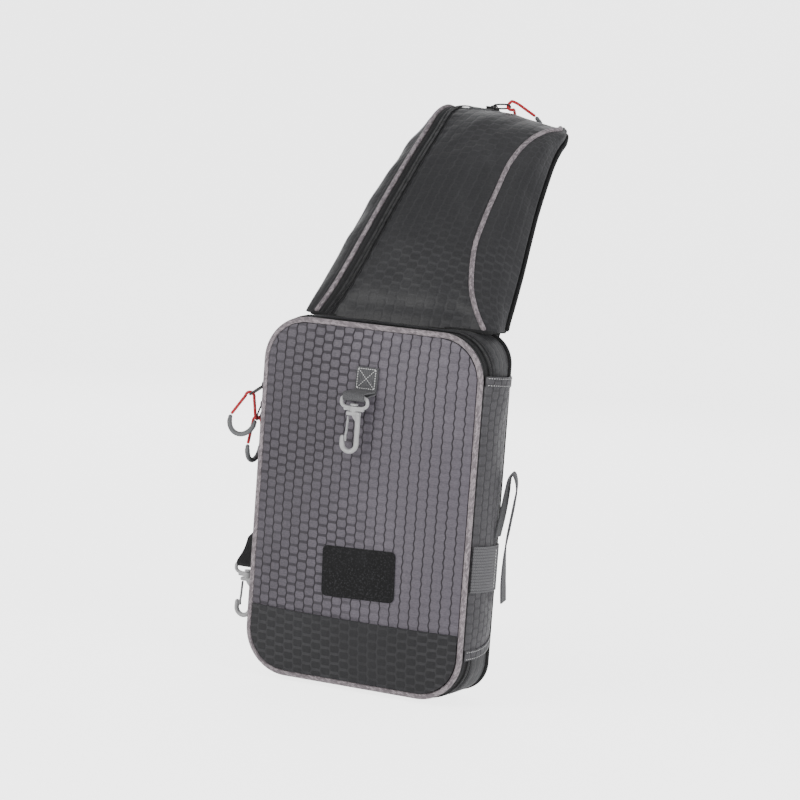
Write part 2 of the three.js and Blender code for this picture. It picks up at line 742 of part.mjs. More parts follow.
function block(w, d, h, x, y, z) {
  const geometry = new THREE.BoxGeometry(w, d, h);
  geometry.translate(x, y, z);
  return geometry;
}
function sliderBody() {
  const w = SLIDER_W / 2;
  const l = SLIDER_L / 2;
  const shape = new THREE.Shape();
  shape.moveTo(-w, -l);
  shape.lineTo(w, -l);
  shape.lineTo(w, l * 0.3);
  shape.lineTo(w * 0.55, l);
  shape.lineTo(-w * 0.55, l);
  shape.lineTo(-w, l * 0.3);
  const base = plate(shape, SLIDER_T, 0.8);
  base.translate(0, sliderBase + SLIDER_T / 2, 0);
  const top = sliderBase + SLIDER_T;
  const bridge = block(BRIDGE_W, BRIDGE_H + 0.5, BRIDGE_L, 0, top + BRIDGE_H / 2 - 0.25, 0);
  const eye = block(BRIDGE_W + 2, BRIDGE_H - BRIDGE_WALL, BRIDGE_L - 2 * BRIDGE_WALL, 0, bridgeMiddle, 0);
  return geometryOf(solid(base).add(solid(bridge)).subtract(solid(eye)));
}
// The pull hangs towards -Z from the middle of its upper bar at the origin.
function pullRing() {
  const shape = ringShape(PULL_W / 2, -PULL_L - PULL_BAR / 2, PULL_BAR / 2, 2.4);
  shape.holes.push(ringShape(PULL_W / 2 - PULL_BAR, -PULL_L + PULL_BAR / 2, -PULL_BAR / 2, 1.4));
  return plate(shape, PULL_T, 0, 1);
}
const basis = (x, y, z, at) => new THREE.Matrix4().makeBasis(x, y, z).setPosition(at);

// One zip pull: slider, ring, red cord and moulded grip. The frame's Y looks out of the bag and
// its Z runs along the zip; hang is the ring's direction, fall the loop's, spread its flat side.
function zipPull(suffix, frame, hang, fall, spreadOut) {
  const bodyMesh = add("slider_" + suffix, sliderBody(), "metal");
  bodyMesh.applyMatrix4(frame);
  const out = v(0, 1, 0).transformDirection(frame);
  const pivot = v(0, bridgeMiddle, 0).applyMatrix4(frame);
  const down = hang.clone().normalize();
  const width = v(1, 0, 0).transformDirection(frame);
  const across = width.addScaledVector(down, -width.dot(down)).normalize();
  const ring = add("pull_" + suffix, pullRing(), "blackPlastic");
  const up = down.clone().negate();
  const face = up.clone().cross(across).normalize();
  ring.applyMatrix4(basis(across, face, up, pivot));

  const eye = pivot.clone().addScaledVector(down, PULL_L);
  const along = fall.clone().normalize();
  const level = along.clone().addScaledVector(across, -along.dot(across)).normalize();
  const turned = level.clone().cross(across).normalize();
  if (turned.dot(out) < 0) {
    turned.negate();
  }
  const bend = 2 * CORD_D;
  const seat = PULL_BAR / 2 + GAP + CORD_D / 2;
  const centre = eye.clone().addScaledVector(level, bend - seat);
  const arc = Array.from({ length: 9 }, (_, i) => {
    const angle = rad(lerp(0, 180, i / 8));
    return centre.clone()
      .addScaledVector(turned, Math.cos(angle) * bend)
      .addScaledVector(level, -Math.sin(angle) * bend);
  });
  const gripEnd = (side) =>
    eye.clone().addScaledVector(along, LOOP_END).addScaledVector(spreadOut, side * LOOP_HALF);
  const route = [
    gripEnd(1),
    gripEnd(1).lerp(arc[0], 0.35),
    gripEnd(1).lerp(arc[0], 0.75),
    ...arc,
    gripEnd(-1).lerp(arc[8], 0.75),
    gripEnd(-1).lerp(arc[8], 0.35),
    gripEnd(-1),
  ];
  add("cord_" + suffix, tube(smooth(route, 18), CORD_D, 8), "cord");

  const bow = Array.from({ length: 13 }, (_, i) => {
    const angle = Math.PI * (i / 12);
    return eye.clone()
      .addScaledVector(along, LOOP_END + GAP + 2 + Math.sin(angle) * LOOP_BOW)
      .addScaledVector(spreadOut, Math.cos(angle) * LOOP_HALF);
  });
  const start = gripEnd(1).addScaledVector(along, GAP + 0.7);
  const end = gripEnd(-1).addScaledVector(along, GAP + 0.7);
  add("grip_" + suffix, tube([start, ...bow, end], GRIP_D, 8), "grip");
}

function sidePulls() {
  const surface = BAG_W / 2 + puffAt(zipMiddle);
  const place = (z) => basis(v(0, 1, 0), v(-1, 0, 0), v(0, 0, 1), v(-surface, zipMiddle, z));
  zipPull("upper", place(PULL_Z), v(-0.79, -0.1, -0.61), v(-0.09, -0.35, -1), v(-1, 0, 0.09).normalize());
  zipPull("lower", place(PULL_Z - PULL_STEP), v(-0.38, 0.16, -0.95), v(-0.06, 0, -1), v(0, -1, 0));
}

// Shoulder strap

// Columns: height over the bag and distance back as shares of the strap's rise and lean, half
// widths of pad and pouch face as shares of half the pad's width, height of the pouch's edge
// over the pad as a share of its thickness, and the pad's tilt back from upright in degrees.
const POUCH_ROWS = [
  { rise: 0, lean: 0.017, pad: 1, face: 0.8, thick: 0.79, tilt: 0 },
  { rise: 0.057, lean: 0.06, pad: 0.984, face: 0.7, thick: 0.845, tilt: 20 },
  { rise: 0.14, lean: 0.121, pad: 0.969, face: 0.635, thick: 0.9, tilt: 33 },
  { rise: 0.3, lean: 0.242, pad: 0.932, face: 0.568, thick: 1, tilt: 39 },
  { rise: 0.459, lean: 0.357, pad: 0.891, face: 0.542, thick: 0.944, tilt: 41 },
  { rise: 0.618, lean: 0.477, pad: 0.849, face: 0.526, thick: 0.845, tilt: 44 },
  { rise: 0.777, lean: 0.613, pad: 0.807, face: 0.516, thick: 0.8, tilt: 48 },
  { rise: 0.904, lean: 0.742, pad: 0.76, face: 0.542, thick: 0.68, tilt: 54 },
  { rise: 0.981, lean: 0.843, pad: 0.724, face: 0.6, thick: 0.53, tilt: 67 },
  { rise: 1, lean: 0.927, pad: 0.688, face: 0.62, thick: 0.33, tilt: 86 },
  { rise: 0.962, lean: 1, pad: 0.625, face: 0.56, thick: 0.15, tilt: 110 },
];
// The pad goes on past the pouch and narrows to the rear webbing; shift is its move to the
// left as a share of half the bag's width.
const REAR_ROWS = [
  { rise: 0.9, lean: 1.056, pad: 0.5, tilt: 130, shift: 0 },
  { rise: 0.78, lean: 1.118, pad: 0.37, tilt: 150, shift: 0.01 },
  { rise: 0.62, lean: 1.163, pad: 0.275, tilt: 161, shift: 0.03 },
  { rise: 0.39, lean: 1.2, pad: 0.215, tilt: 169, shift: 0.08 },
];
const strapFoot = BAG_H + PUFF + 0.5;

function cubic(a, b, c, d, t) {
  const m1 = (c - a) / 2;
  const m2 = (d - b) / 2;
  const t2 = t * t;
  const t3 = t2 * t;
  return (2 * t3 - 3 * t2 + 1) * b + (t3 - 2 * t2 + t) * m1 + (3 * t2 - 2 * t3) * c + (t3 - t2) * m2;
}
const ALL_ROWS = [...POUCH_ROWS.map((row) => ({ ...row, shift: 0 })), ...REAR_ROWS];
const pouchEnd = POUCH_ROWS.length - 1;
const strapEnd = ALL_ROWS.length - 1;
// The strap's section at a place counted in rows from its foot.
function sectionAt(place) {
  const read = (key, last = strapEnd) => {
    const low = clamp(Math.floor(place), 0, last - 1);
    const [a, b, c, d] = [-1, 0, 1, 2].map((step) => ALL_ROWS[clamp(low + step, 0, last)][key]);
    return cubic(a, b, c, d, Math.min(1, place - low));
  };
  const tilt = rad(read("tilt"));
  return {
    middle: v(
      (-read("shift") * BAG_W) / 2,
      read("lean") * STRAP_LEAN,
      strapFoot + read("rise") * STRAP_RISE,
    ),
    out: v(0, -Math.cos(tilt), Math.sin(tilt)),
    pad: (read("pad") * PAD_W) / 2,
    face: (read("face", pouchEnd) * PAD_W) / 2,
    thick: read("thick", pouchEnd) * POUCH_T,
  };
}

// A point over the pad: x across, place along, lift off the pad's middle.
function overPad(x, place, lift) {
  const section = sectionAt(place);
  return section.middle.clone().add(v(x, 0, 0)).addScaledVector(section.out, lift);
}
// A point on the pouch's face, which is crowned between its edges.
function onFace(x, place, lift) {
  const section = sectionAt(place);
  const share = clamp(Math.abs(x) / section.face, 0, 1);
  const crown = POUCH_CROWN * (1 - share * share) * clamp((section.thick - 4) / 20, 0, 1);
  return overPad(x, place, section.thick + crown + lift);
}
const steps = (from, to, count) => Array.from({ length: count + 1 }, (_, i) => lerp(from, to, i / count));

function shoulderPad() {
  const places = [...steps(0, 6, 8), ...steps(6.8, strapEnd, 10)];
  const sheet = (lift) =>
    places.map((place) => {
      const { pad } = sectionAt(place);
      return [-1, -0.93, -0.5, 0, 0.5, 0.93, 1].map((share) => {
        const edge = Math.abs(share) === 1 ? 0.45 : 1;
        return overPad(pad * share, place, lift * edge);
      });
    });
  add("shoulder_pad", slab(sheet(PAD_T / 2), sheet(-PAD_T / 2)), "blackCloth");
}

// The face's left edge runs beside the zip, then turns right below the zip's end.
const turnPlace = pouchEnd * STRAP_TURN;
const topPlace = pouchEnd - 1.15;
function faceLeft(place) {
  const side = -sectionAt(Math.min(place, pouchEnd)).face + STRAP_ZIP_W;
  const share = clamp((place - turnPlace) / (topPlace - turnPlace), 0, 1);
  return lerp(side, STRAP_ZIP_END, 1 - Math.sqrt(1 - share * share));
}
const pipingRoom = STRAP_PIPING_D / 2 + GAP + 0.5;
function strapFace() {
  const turned = [...steps(turnPlace + 0.35, topPlace, 5), topPlace + 0.5];
  const places = [...steps(0, turnPlace, 9), ...turned, pouchEnd];
  const sheet = (lift) =>
    places.map((place) => {
      const right = sectionAt(place).face - pipingRoom;
      return [0, 0.14, 0.32, 0.5, 0.68, 0.86, 1].map((share) =>
        onFace(lerp(faceLeft(place) + GAP, right, share), place, lift),
      );
    });
  add("strap_face", slab(sheet(CLOTH / 2), sheet(-CLOTH / 2)), "blackCloth");
}

// The zip's tape lies between the left piping and the face; round the top its outer edge
// follows the pouch's end. Its coil runs along the tape's inner third.
function zipRoute() {
  const rows = [];
  for (const place of steps(0, turnPlace, 9)) {
    rows.push({
      outside: [-sectionAt(place).face + pipingRoom, place],
      inside: [faceLeft(place) - GAP, place],
    });
  }
  const turning = 7;
  for (let i = 1; i <= turning; i++) {
    const share = i / turning;
    const place = lerp(turnPlace, topPlace, Math.sin((share * Math.PI) / 2));
    const corner = Math.min(1, share * 1.8);
    const rise = lerp(turnPlace, pouchEnd, corner);
    const left = -sectionAt(rise).face + pipingRoom;
    rows.push({
      outside: [lerp(left, STRAP_ZIP_END, Math.max(0, (share - 0.55) / 0.45)), rise],
      inside: [faceLeft(place) - GAP, place],
    });
  }
  return rows;
}
function strapZip() {
  const rows = zipRoute();
  const strip = (from, to, columns, lift, part = rows) =>
    part.map(({ outside, inside }) =>
      steps(from, to, columns).map((share) =>
        onFace(lerp(outside[0], inside[0], share), lerp(outside[1], inside[1], share), lift),
      ),
    );
  add("strap_zip_tape", slab(strip(0, 1, 4, TAPE_HALF), strip(0, 1, 4, -TAPE_HALF)), "tape");
  const middle = 0.66;
  const half = STRAP_COIL_W / STRAP_ZIP_W / 2;
  const base = TAPE_HALF + 0.2 + GAP;
  const upToSlider = rows.filter(
    ({ outside, inside }) => lerp(outside[0], inside[0], middle) < STRAP_ZIP_END - SLIDER_L - 1,
  );
  const coil = (lift) => strip(middle - half, middle + half, 1, lift, upToSlider);
  add("strap_zip_coil", slab(coil(base + COIL_H), coil(base)), "coil");
  return lerp(pouchEnd, topPlace, middle);
}
// The strap's slider stands at the zip's end on top, with its pull towards the right.
function strapPull(place) {
  const x = STRAP_ZIP_END - SLIDER_L / 2;
  const back = onFace(x, place + 0.2, 0).sub(onFace(x, place - 0.2, 0)).setX(0).normalize();
  const out = v(0, -back.z, back.y);
  const at = onFace(x, place, 0).addScaledVector(out, TAPE_HALF + GAP + 0.25 - sliderBase);
  const frame = basis(back, out, back.clone().cross(out), at);
  const hang = v(0.96, 0, 0).addScaledVector(out, 0.1);
  const fall = v(0.5, 0.75, -0.34);
  const flat = fall.clone().cross(out).normalize();
  zipPull("strap", frame, hang, fall, flat);
}

const pipingLift = (thick) => Math.max(thick, PAD_T / 2 + STRAP_PIPING_D / 2 + 1.6);
// The pouch's sides are lenses between the pad's edge and the piping.
function strapSide(name, side) {
  const places = [...steps(0, 6, 8), ...steps(6.8, pouchEnd, 6)];
  const sheet = (inward) =>
    places.map((place) => {
      const { pad, face, thick } = sectionAt(place);
      const foot = new THREE.Vector2(pad - 1.2, PAD_T / 2 + GAP + CLOTH);
      const cord = new THREE.Vector2(face, pipingLift(thick));
      const outward = foot.clone().sub(cord).normalize();
      const head = cord.addScaledVector(outward, STRAP_PIPING_D / 2 + GAP + 0.1);
      return steps(0, 1, 4).map((share) => {
        const bulge = Math.sin(Math.PI * share) * Math.min(5, thick * 0.16);
        const at = foot.clone().lerp(head, share);
        const off = bulge - inward;
        return overPad(side * (at.x - outward.y * off), place, at.y + outward.x * off);
      });
    });
  add(name, slab(sheet(0), sheet(CLOTH)), "blackCloth");
}
function strapPiping(name, side) {
  const places = [...steps(0.1, 6, 10), ...steps(6.6, pouchEnd, 8)];
  const path = places.map((place) => {
    const { face, thick } = sectionAt(place);
    return overPad(side * face, place, pipingLift(thick));
  });
  add(name, tube(path, STRAP_PIPING_D, 8), "piping");
}

// Rear webbing: from the pad's end down and across to the bag's lower left corner.
// Columns: share of the drop below the strap's foot, share of the depth, share of the way left.
const WEB_ROWS = [
  { drop: -0.212, depth: 0.921, left: 0.095 },
  { drop: -0.05, depth: 0.985, left: 0.21 },
  { drop: 0.155, depth: 1, left: 0.35 },
  { drop: 0.36, depth: 0.983, left: 0.49 },
  { drop: 0.57, depth: 0.884, left: 0.63 },
  { drop: 0.744, depth: 0.711, left: 0.745 },
  { drop: 0.872, depth: 0.474, left: 0.84 },
  { drop: 0.955, depth: 0.237, left: 0.93 },
  { drop: 1, depth: 0.05, left: 1 },
];
function rearStrap() {
  const end = sectionAt(strapEnd);
  const across = v(1, 0, 0);
  const points = WEB_ROWS.map(({ drop, depth, left }) =>
    v(-left * REAR_SIDE, depth * REAR_DEPTH, strapFoot - drop * REAR_DROP),
  );
  const down = v(0, end.out.z, -end.out.y);
  points[0] = end.middle.clone().addScaledVector(down, GAP);
  const anchorY = BACK_PAD + WEBBING + 2 * GAP + 0.3;
  points[points.length - 1].y = anchorY;
  const curve = new THREE.CatmullRomCurve3(points, false, "centripetal");
  const length = curve.getLength();
  const at = curve.getPointAt(BUCKLE_SHARE);
  const heading = curve.getTangentAt(BUCKLE_SHARE).setX(0).normalize();
  const bar = BUCKLE_H / 2 - BUCKLE_BAR / 2;
  const upperBar = at.clone().addScaledVector(heading, -bar);
  const lowerBar = at.clone().addScaledVector(heading, bar);
  const outward = heading.clone().cross(across).normalize();
  const reach = (bar + LOOP_TAIL + 6) / length;
  const upper = steps(0, BUCKLE_SHARE - reach, 14).map((share) => curve.getPointAt(share));
  const lower = steps(BUCKLE_SHARE + reach, 1, 16).map((share) => curve.getPointAt(share));
  const fold = foldRound(outward, heading);
  add(
    "rear_webbing_upper",
    evenRibbon([...upper, ...fold(upperBar, 1)], across, REAR_W, WEBBING),
    "blackWebbing",
  );
  add(
    "rear_webbing_lower",
    evenRibbon([...lower.reverse(), ...fold(lowerBar, -1)], across, REAR_W, WEBBING),
    "blackWebbing",
  );
  const shape = ringShape(BUCKLE_W / 2, -BUCKLE_H / 2, BUCKLE_H / 2, 4);
  for (const side of [-1, 1]) {
    const edge = BUCKLE_H / 2 - BUCKLE_BAR;
    const [low, high] = side < 0 ? [-edge, -BUCKLE_BAR / 2] : [BUCKLE_BAR / 2, edge];
    shape.holes.push(ringShape(REAR_W / 2 + 1, low, high, 1));
  }
  const buckle = add("strap_buckle", plate(shape, BUCKLE_T, 0, 1), "blackPlastic");
  const up = heading.clone().negate();
  buckle.applyMatrix4(basis(across, up.clone().cross(across), up, at));
  return points[points.length - 1];
}
// Points that take webbing round a bar from the front and back along itself behind.
const foldRound = (outward, heading) => (bar, sense) => {
  const turn = Math.hypot(BUCKLE_BAR, BUCKLE_T) / 2 + GAP + WEBBING / 2 + 0.2;
  const layer = (WEBBING + GAP) / 2;
  const onward = heading.clone().multiplyScalar(sense);
  const place = (along, off) => bar.clone().addScaledVector(onward, along).addScaledVector(outward, off);
  const round = steps(70, -70, 6).map((degrees) => {
    const angle = rad(degrees);
    return place(Math.cos(angle) * turn, Math.sin(angle) * turn);
  });
  return [place(-9, layer), ...round, place(-9, -layer - 0.3), place(-LOOP_TAIL, -layer - 0.3)];
};
// A patch of webbing sewn flat on the back's lower left corner holds the strap's end.
function anchorPatch(end) {
  const level = BACK_PAD + GAP + WEBBING / 2;
  const rows = [v(end.x + 4, level, end.z + 16), v(end.x + 4, level, end.z - 8)];
  add("anchor_patch", evenRibbon(rows, v(1, 0, 0), REAR_W - 6, WEBBING), "blackWebbing");
}

function strap() {
  shoulderPad();
  strapFace();
  const zipPlace = strapZip();
  strapSide("strap_side_left", -1);
  strapSide("strap_side_right", 1);
  strapPiping("strap_piping_left", -1);
  strapPiping("strap_piping_right", 1);
  anchorPatch(rearStrap());
  strapPull(zipPlace);
}

body();
patch();
frontTab();
snapHook("front", v(HOOK_X, hookAxisY(), HOOK_BAR_Z));
sideTab();
snapHook("side", v(sideHookX, SIDE_TAB_Y, SIDE_BAR_Z));
pocket();
band();
utilityStrap();
sidePulls();
strap();

// The origin lies under the pad where its underside is highest.
const crest = sectionAt(pouchEnd - 1);
const seat = crest.middle.clone().addScaledVector(crest.out, -PAD_T / 2);
bag.children.forEach((mesh) => mesh.position.sub(seat));
export default bag;
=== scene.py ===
"""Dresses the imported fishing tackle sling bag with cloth, zips, cords and hooks, in a plain studio."""
import math

import bpy
import numpy as np
from mathutils import Matrix, Vector


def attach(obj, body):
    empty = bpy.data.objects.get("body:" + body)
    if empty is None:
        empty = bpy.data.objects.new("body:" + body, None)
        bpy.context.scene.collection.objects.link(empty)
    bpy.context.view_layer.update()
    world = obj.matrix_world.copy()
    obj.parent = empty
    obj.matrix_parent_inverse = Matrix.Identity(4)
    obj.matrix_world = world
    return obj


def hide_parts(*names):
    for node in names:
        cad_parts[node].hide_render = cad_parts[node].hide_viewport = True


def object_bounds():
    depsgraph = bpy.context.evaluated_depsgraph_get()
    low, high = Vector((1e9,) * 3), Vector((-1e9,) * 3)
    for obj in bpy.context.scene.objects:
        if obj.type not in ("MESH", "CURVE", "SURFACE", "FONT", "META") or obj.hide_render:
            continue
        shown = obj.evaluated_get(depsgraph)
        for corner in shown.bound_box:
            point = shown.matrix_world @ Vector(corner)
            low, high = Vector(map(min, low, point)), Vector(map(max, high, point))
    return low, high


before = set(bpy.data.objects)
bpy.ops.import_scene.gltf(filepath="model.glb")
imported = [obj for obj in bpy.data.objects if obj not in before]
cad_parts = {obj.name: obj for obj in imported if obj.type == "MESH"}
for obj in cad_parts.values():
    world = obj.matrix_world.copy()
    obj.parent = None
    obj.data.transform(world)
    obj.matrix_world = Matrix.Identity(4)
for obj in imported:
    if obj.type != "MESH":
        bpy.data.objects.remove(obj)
CAD_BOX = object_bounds()
BODY = "bag"
STITCH_HIGH, STITCH_RAISED = 0.8, 0.12  # as shares of a thread's width

# Every place below is in millimetres from the bottom middle of the bag's back, as in the part's
# source; SEAT is where that point lies from the shoulder seat.
SEAT = np.array([0.0, -165.18, -471.506])


def framed(points):
    return (np.asarray(points, dtype=float) + SEAT) / 1000.0


# Camera, as fitted to the photograph

AZIMUTH, PITCH, ROLL = (math.radians(a) for a in (25.0, 6.7, 4.19))
PICTURE, FOCAL, SENSOR = 800.0, 2800.0, 36.0  # the first two in pixels
AIM, AIM_PIXEL, AIM_AWAY = (0.0, -60.0, 157.0), (362.2, 507.1), 2431.0


def make_camera():
    level = np.array([math.cos(AZIMUTH), math.sin(AZIMUTH), 0.0])
    ahead = np.array([-level[1] * math.cos(PITCH), level[0] * math.cos(PITCH), -math.sin(PITCH)])
    upward = np.cross(level, ahead)
    right = math.cos(ROLL) * level + math.sin(ROLL) * upward
    up = -math.sin(ROLL) * level + math.cos(ROLL) * upward
    aside, below = ((pixel - PICTURE / 2) / FOCAL for pixel in AIM_PIXEL)
    ray = ahead + aside * right - below * up
    place = framed(AIM) - ray * AIM_AWAY / 1000.0
    data = bpy.data.cameras.new("Camera")
    data.sensor_width = SENSOR
    data.lens = FOCAL / PICTURE * SENSOR
    data.clip_end = 60.0
    camera = bpy.data.objects.new("Camera", data)
    bpy.context.scene.collection.objects.link(camera)
    matrix = Matrix([[*row, 0.0] for row in np.stack([right, up, -ahead], axis=1)] + [[0, 0, 0, 1]])
    matrix.translation = Vector(place)
    camera.matrix_world = matrix
    bpy.context.scene.camera = camera


make_camera()


# Making pieces

def only(*objects):
    bpy.ops.object.select_all(action="DESELECT")
    for obj in objects:
        obj.select_set(True)
    if objects:
        bpy.context.view_layer.objects.active = objects[0]


def called(name):
    obj = bpy.context.object
    obj.name = name
    obj.data.name = name
    return obj


def applied(obj, kind, **settings):
    only(obj)
    modifier = obj.modifiers.new(kind.title(), kind)
    for key, value in settings.items():
        setattr(modifier, key, value)
    bpy.ops.object.modifier_apply(modifier=modifier.name)
    return obj


def welded(obj, distance=0.00002):
    only(obj)
    bpy.ops.object.mode_set(mode="EDIT")
    bpy.ops.mesh.select_all(action="SELECT")
    bpy.ops.mesh.remove_doubles(threshold=distance)
    bpy.ops.mesh.normals_make_consistent(inside=False)
    bpy.ops.object.mode_set(mode="OBJECT")
    return obj


def smooth(obj, angle=None):
    only(obj)
    if angle is None:
        bpy.ops.object.shade_smooth()
    else:
        bpy.ops.object.shade_smooth_by_angle(angle=math.radians(angle))
    return obj


def laid(name, across, along, at, flat):
    """A grid primitive laid over at(s, t), with s and t from 0 to 1 and places in millimetres.
    flat(s, t) gives the cloth's own coordinates in millimetres, kept in metres as its UV map."""
    only()
    bpy.ops.mesh.primitive_grid_add(x_subdivisions=across, y_subdivisions=along, size=1, calc_uvs=True)
    obj = called(name)
    mesh = obj.data
    co = np.empty(len(mesh.vertices) * 3)
    mesh.vertices.foreach_get("co", co)
    co = co.reshape(-1, 3)
    s, t = np.clip(co[:, 0] + 0.5, 0, 1), np.clip(co[:, 1] + 0.5, 0, 1)
    u, v = flat(s, t)
    layer = mesh.uv_layers.active
    layer.name = "Cloth"
    index = np.empty(len(mesh.loops), dtype=int)
    mesh.loops.foreach_get("vertex_index", index)
    layer.data.foreach_set("uv", (np.stack([u, v], 1)[index] / 1000.0).ravel())
    mesh.vertices.foreach_set("co", framed(at(s, t)).ravel())
    mesh.update()
    return obj


def cloth_sheet(name, across, along, at, flat, thick=1.2, weld=False, offset=-1.0):
    obj = laid(name, across, along, at, flat)
    if weld:
        welded(obj)
    applied(obj, "SOLIDIFY", thickness=thick / 1000.0, offset=offset, use_even_offset=False)
    return smooth(obj, 50)


def between_rows(t, a, b, c, d):
    """The Catmull-Rom curve from b to c, with a before them and d after them."""
    m1, m2 = (c - a) / 2, (d - b) / 2
    return ((2 * t**3 - 3 * t**2 + 1) * b + (t**3 - 2 * t**2 + t) * m1
            + (3 * t**2 - 2 * t**3) * c + (t**3 - t**2) * m2)


def curve_through(points, count, closed=False):
    """Points evenly spaced on a Catmull-Rom curve."""
    p = np.asarray(points, dtype=float)
    n = len(p)
    spans = n if closed else n - 1
    fine = []
    for k in range(spans):
        a, b, c, d = (p[(k + j) % n] if closed else p[min(max(k + j, 0), n - 1)] for j in (-1, 0, 1, 2))
        fine.append(between_rows(np.linspace(0, 1, 24, endpoint=False)[:, None], a, b, c, d))
    fine = np.concatenate(fine + [p[:1] if closed else p[-1:]])
    away = np.concatenate([[0], np.cumsum(np.linalg.norm(np.diff(fine, axis=0), axis=1))])
    stops = np.linspace(0, away[-1], count)
    return np.stack([np.interp(stops, away, fine[:, i]) for i in range(3)], 1), away[-1]


def turned_frames(path, closed=False):
    """Tangents, and two directions across that turn as little as they can along the path."""
    if closed:
        ahead = np.roll(path[:-1], -1, 0) - np.roll(path[:-1], 1, 0)
        ahead = np.vstack([ahead, ahead[:1]])
    else:
        ahead = np.gradient(path, axis=0)
    ahead /= np.linalg.norm(ahead, axis=1)[:, None]
    start = np.array([0.0, 1.0, 0.0]) if abs(ahead[0][1]) < 0.8 else np.array([1.0, 0.0, 0.0])
    sides = []
    side = start
    for direction in ahead:
        side = side - direction * side.dot(direction)
        side = side / np.linalg.norm(side)
        sides.append(side)
    sides = np.array(sides)
    return ahead, sides, np.cross(ahead, sides)


def rod(name, points, radius, around=12, count=80, closed=False, flatten=(1.0, 1.0), caps=True, side=None):
    """A grid primitive rolled round a path. radius is one number or a function of the share of the
    path; flatten scales it along the two directions across."""
    path, length = curve_through(points, count, closed)
    ahead, first, second = turned_frames(path, closed)
    if side is not None:
        first = np.asarray(side) - ahead * (ahead @ np.asarray(side))[:, None]
        first /= np.linalg.norm(first, axis=1)[:, None]
        second = np.cross(ahead, first)
    shares = np.linspace(0, 1, count)
    radii = np.array([radius(x) if callable(radius) else radius for x in shares], dtype=float)
    if caps and not closed:
        reach = shares * length / np.maximum(radii, 0.01)
        back = (1 - shares) * length / np.maximum(radii, 0.01)
        near = np.clip(np.minimum(reach, back), 0, 1)
        radii = radii * np.sqrt(np.maximum(0, 1 - (1 - near) ** 2))
        radii[0] = radii[-1] = 0.0

    def at(s, t):
        k = np.clip(np.rint(t * (count - 1)).astype(int), 0, count - 1)
        angle = 2 * math.pi * s
        return (path[k] + first[k] * (radii[k] * np.cos(angle) * flatten[0])[:, None]
                + second[k] * (radii[k] * np.sin(angle) * flatten[1])[:, None])

    biggest = float(radii.max())
    obj = laid(name, around, count - 1, at, lambda s, t: (s * 2 * math.pi * biggest, t * length))
    return smooth(welded(obj))


def copies(name, model, places):
    """One mesh with a copy of the model's mesh at each 4x4 place."""
    mesh = model.data
    co = np.empty(len(mesh.vertices) * 3)
    mesh.vertices.foreach_get("co", co)
    co = np.c_[co.reshape(-1, 3), np.ones(len(mesh.vertices))]
    faces = [tuple(p.vertices) for p in mesh.polygons]
    points = np.concatenate([(co @ np.asarray(m).T)[:, :3] for m in places])
    made = []
    for k in range(len(places)):
        base = k * len(co)
        made.extend(tuple(i + base for i in face) for face in faces)
    new = bpy.data.meshes.new(name)
    new.from_pydata(points.tolist(), [], made)
    new.update()
    only(model)
    bpy.ops.object.duplicate()
    obj = bpy.context.object
    obj.data = new
    obj.name = name
    obj.matrix_world = Matrix()
    bpy.data.objects.remove(model)
    return smooth(obj)


def posed(x, y, z, at):
    """A 4x4 place in metres from three directions and a point in millimetres."""
    m = np.eye(4)
    m[:3, 0], m[:3, 1], m[:3, 2] = x, y, z
    m[:3, 3] = framed(at)
    return m


def unit(vector):
    vector = np.asarray(vector, dtype=float)
    return vector / np.linalg.norm(vector)


def bead(segments):
    """A ball that is 1 m across, for stitches and zip teeth to be squeezed from."""
    only()
    bpy.ops.mesh.primitive_uv_sphere_add(segments=segments, ring_count=6, radius=0.5)
    return bpy.context.object


def stitches(name, runs, material, slot, pitch=3.1, long=2.3, wide=0.5):
    """Thread drawn along runs of (points, outward): small sunk bars that end where they dive in.
    outward is one direction or a row of them along the run."""
    model = bead(6)
    high, raised = wide * STITCH_HIGH, wide * STITCH_RAISED
    places = []
    for points, outward in runs:
        path, _ = curve_through(points, max(3, int(curve_length(points) / pitch) * 4 + 1))
        ahead, _, _ = turned_frames(path)
        normals = np.atleast_2d(np.asarray(outward, dtype=float))
        for k in range(2, len(path) - 1, 4):
            out = normals[min(len(normals) - 1, int(k / len(path) * len(normals)))]
            x = ahead[k]
            z = unit(out - x * out.dot(x))
            y = np.cross(z, x)
            places.append(posed(x * long / 1000, y * wide / 1000, z * high / 1000, path[k] + z * raised))
    return dressed(copies(name, model, places), material, slot)


def curve_length(points):
    p = np.asarray(points, dtype=float)
    return float(np.linalg.norm(np.diff(p, axis=0), axis=1).sum())


def dressed(obj, material, slot, *nodes, body=BODY):
    """Gives a piece its material and body, and hides the solids that it replaces. slot is not used."""
    obj.data.materials.clear()
    obj.data.materials.append(material)
    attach(obj, body)
    if nodes:
        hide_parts(*nodes)
    return obj


def ripple(points, size, seed):
    """Soft even noise between about -1 and 1, the same on every run."""
    rng = np.random.default_rng(seed)
    p = np.asarray(points, dtype=float)
    total = np.zeros(len(p))
    for _ in range(9):
        direction = rng.normal(size=3)
        direction *= 2 * math.pi / (size * rng.uniform(0.7, 1.6)) / np.linalg.norm(direction)
        total += np.sin(p @ direction + rng.uniform(0, 2 * math.pi))
    return total / 3.2


def on_plane(a, b):
    """Two coordinates and a third of zero, for ripple to be read at."""
    return np.stack([a, b, np.zeros_like(a)], 1)


def lerp(a, b, t):
    return a + (b - a) * t


def eased(x, low, high):
    t = np.clip((x - low) / (high - low), 0, 1)
    return t * t * (3 - 2 * t)


# Materials

FLOAT, VECTOR = "NodeSocketFloat", "NodeSocketVector"


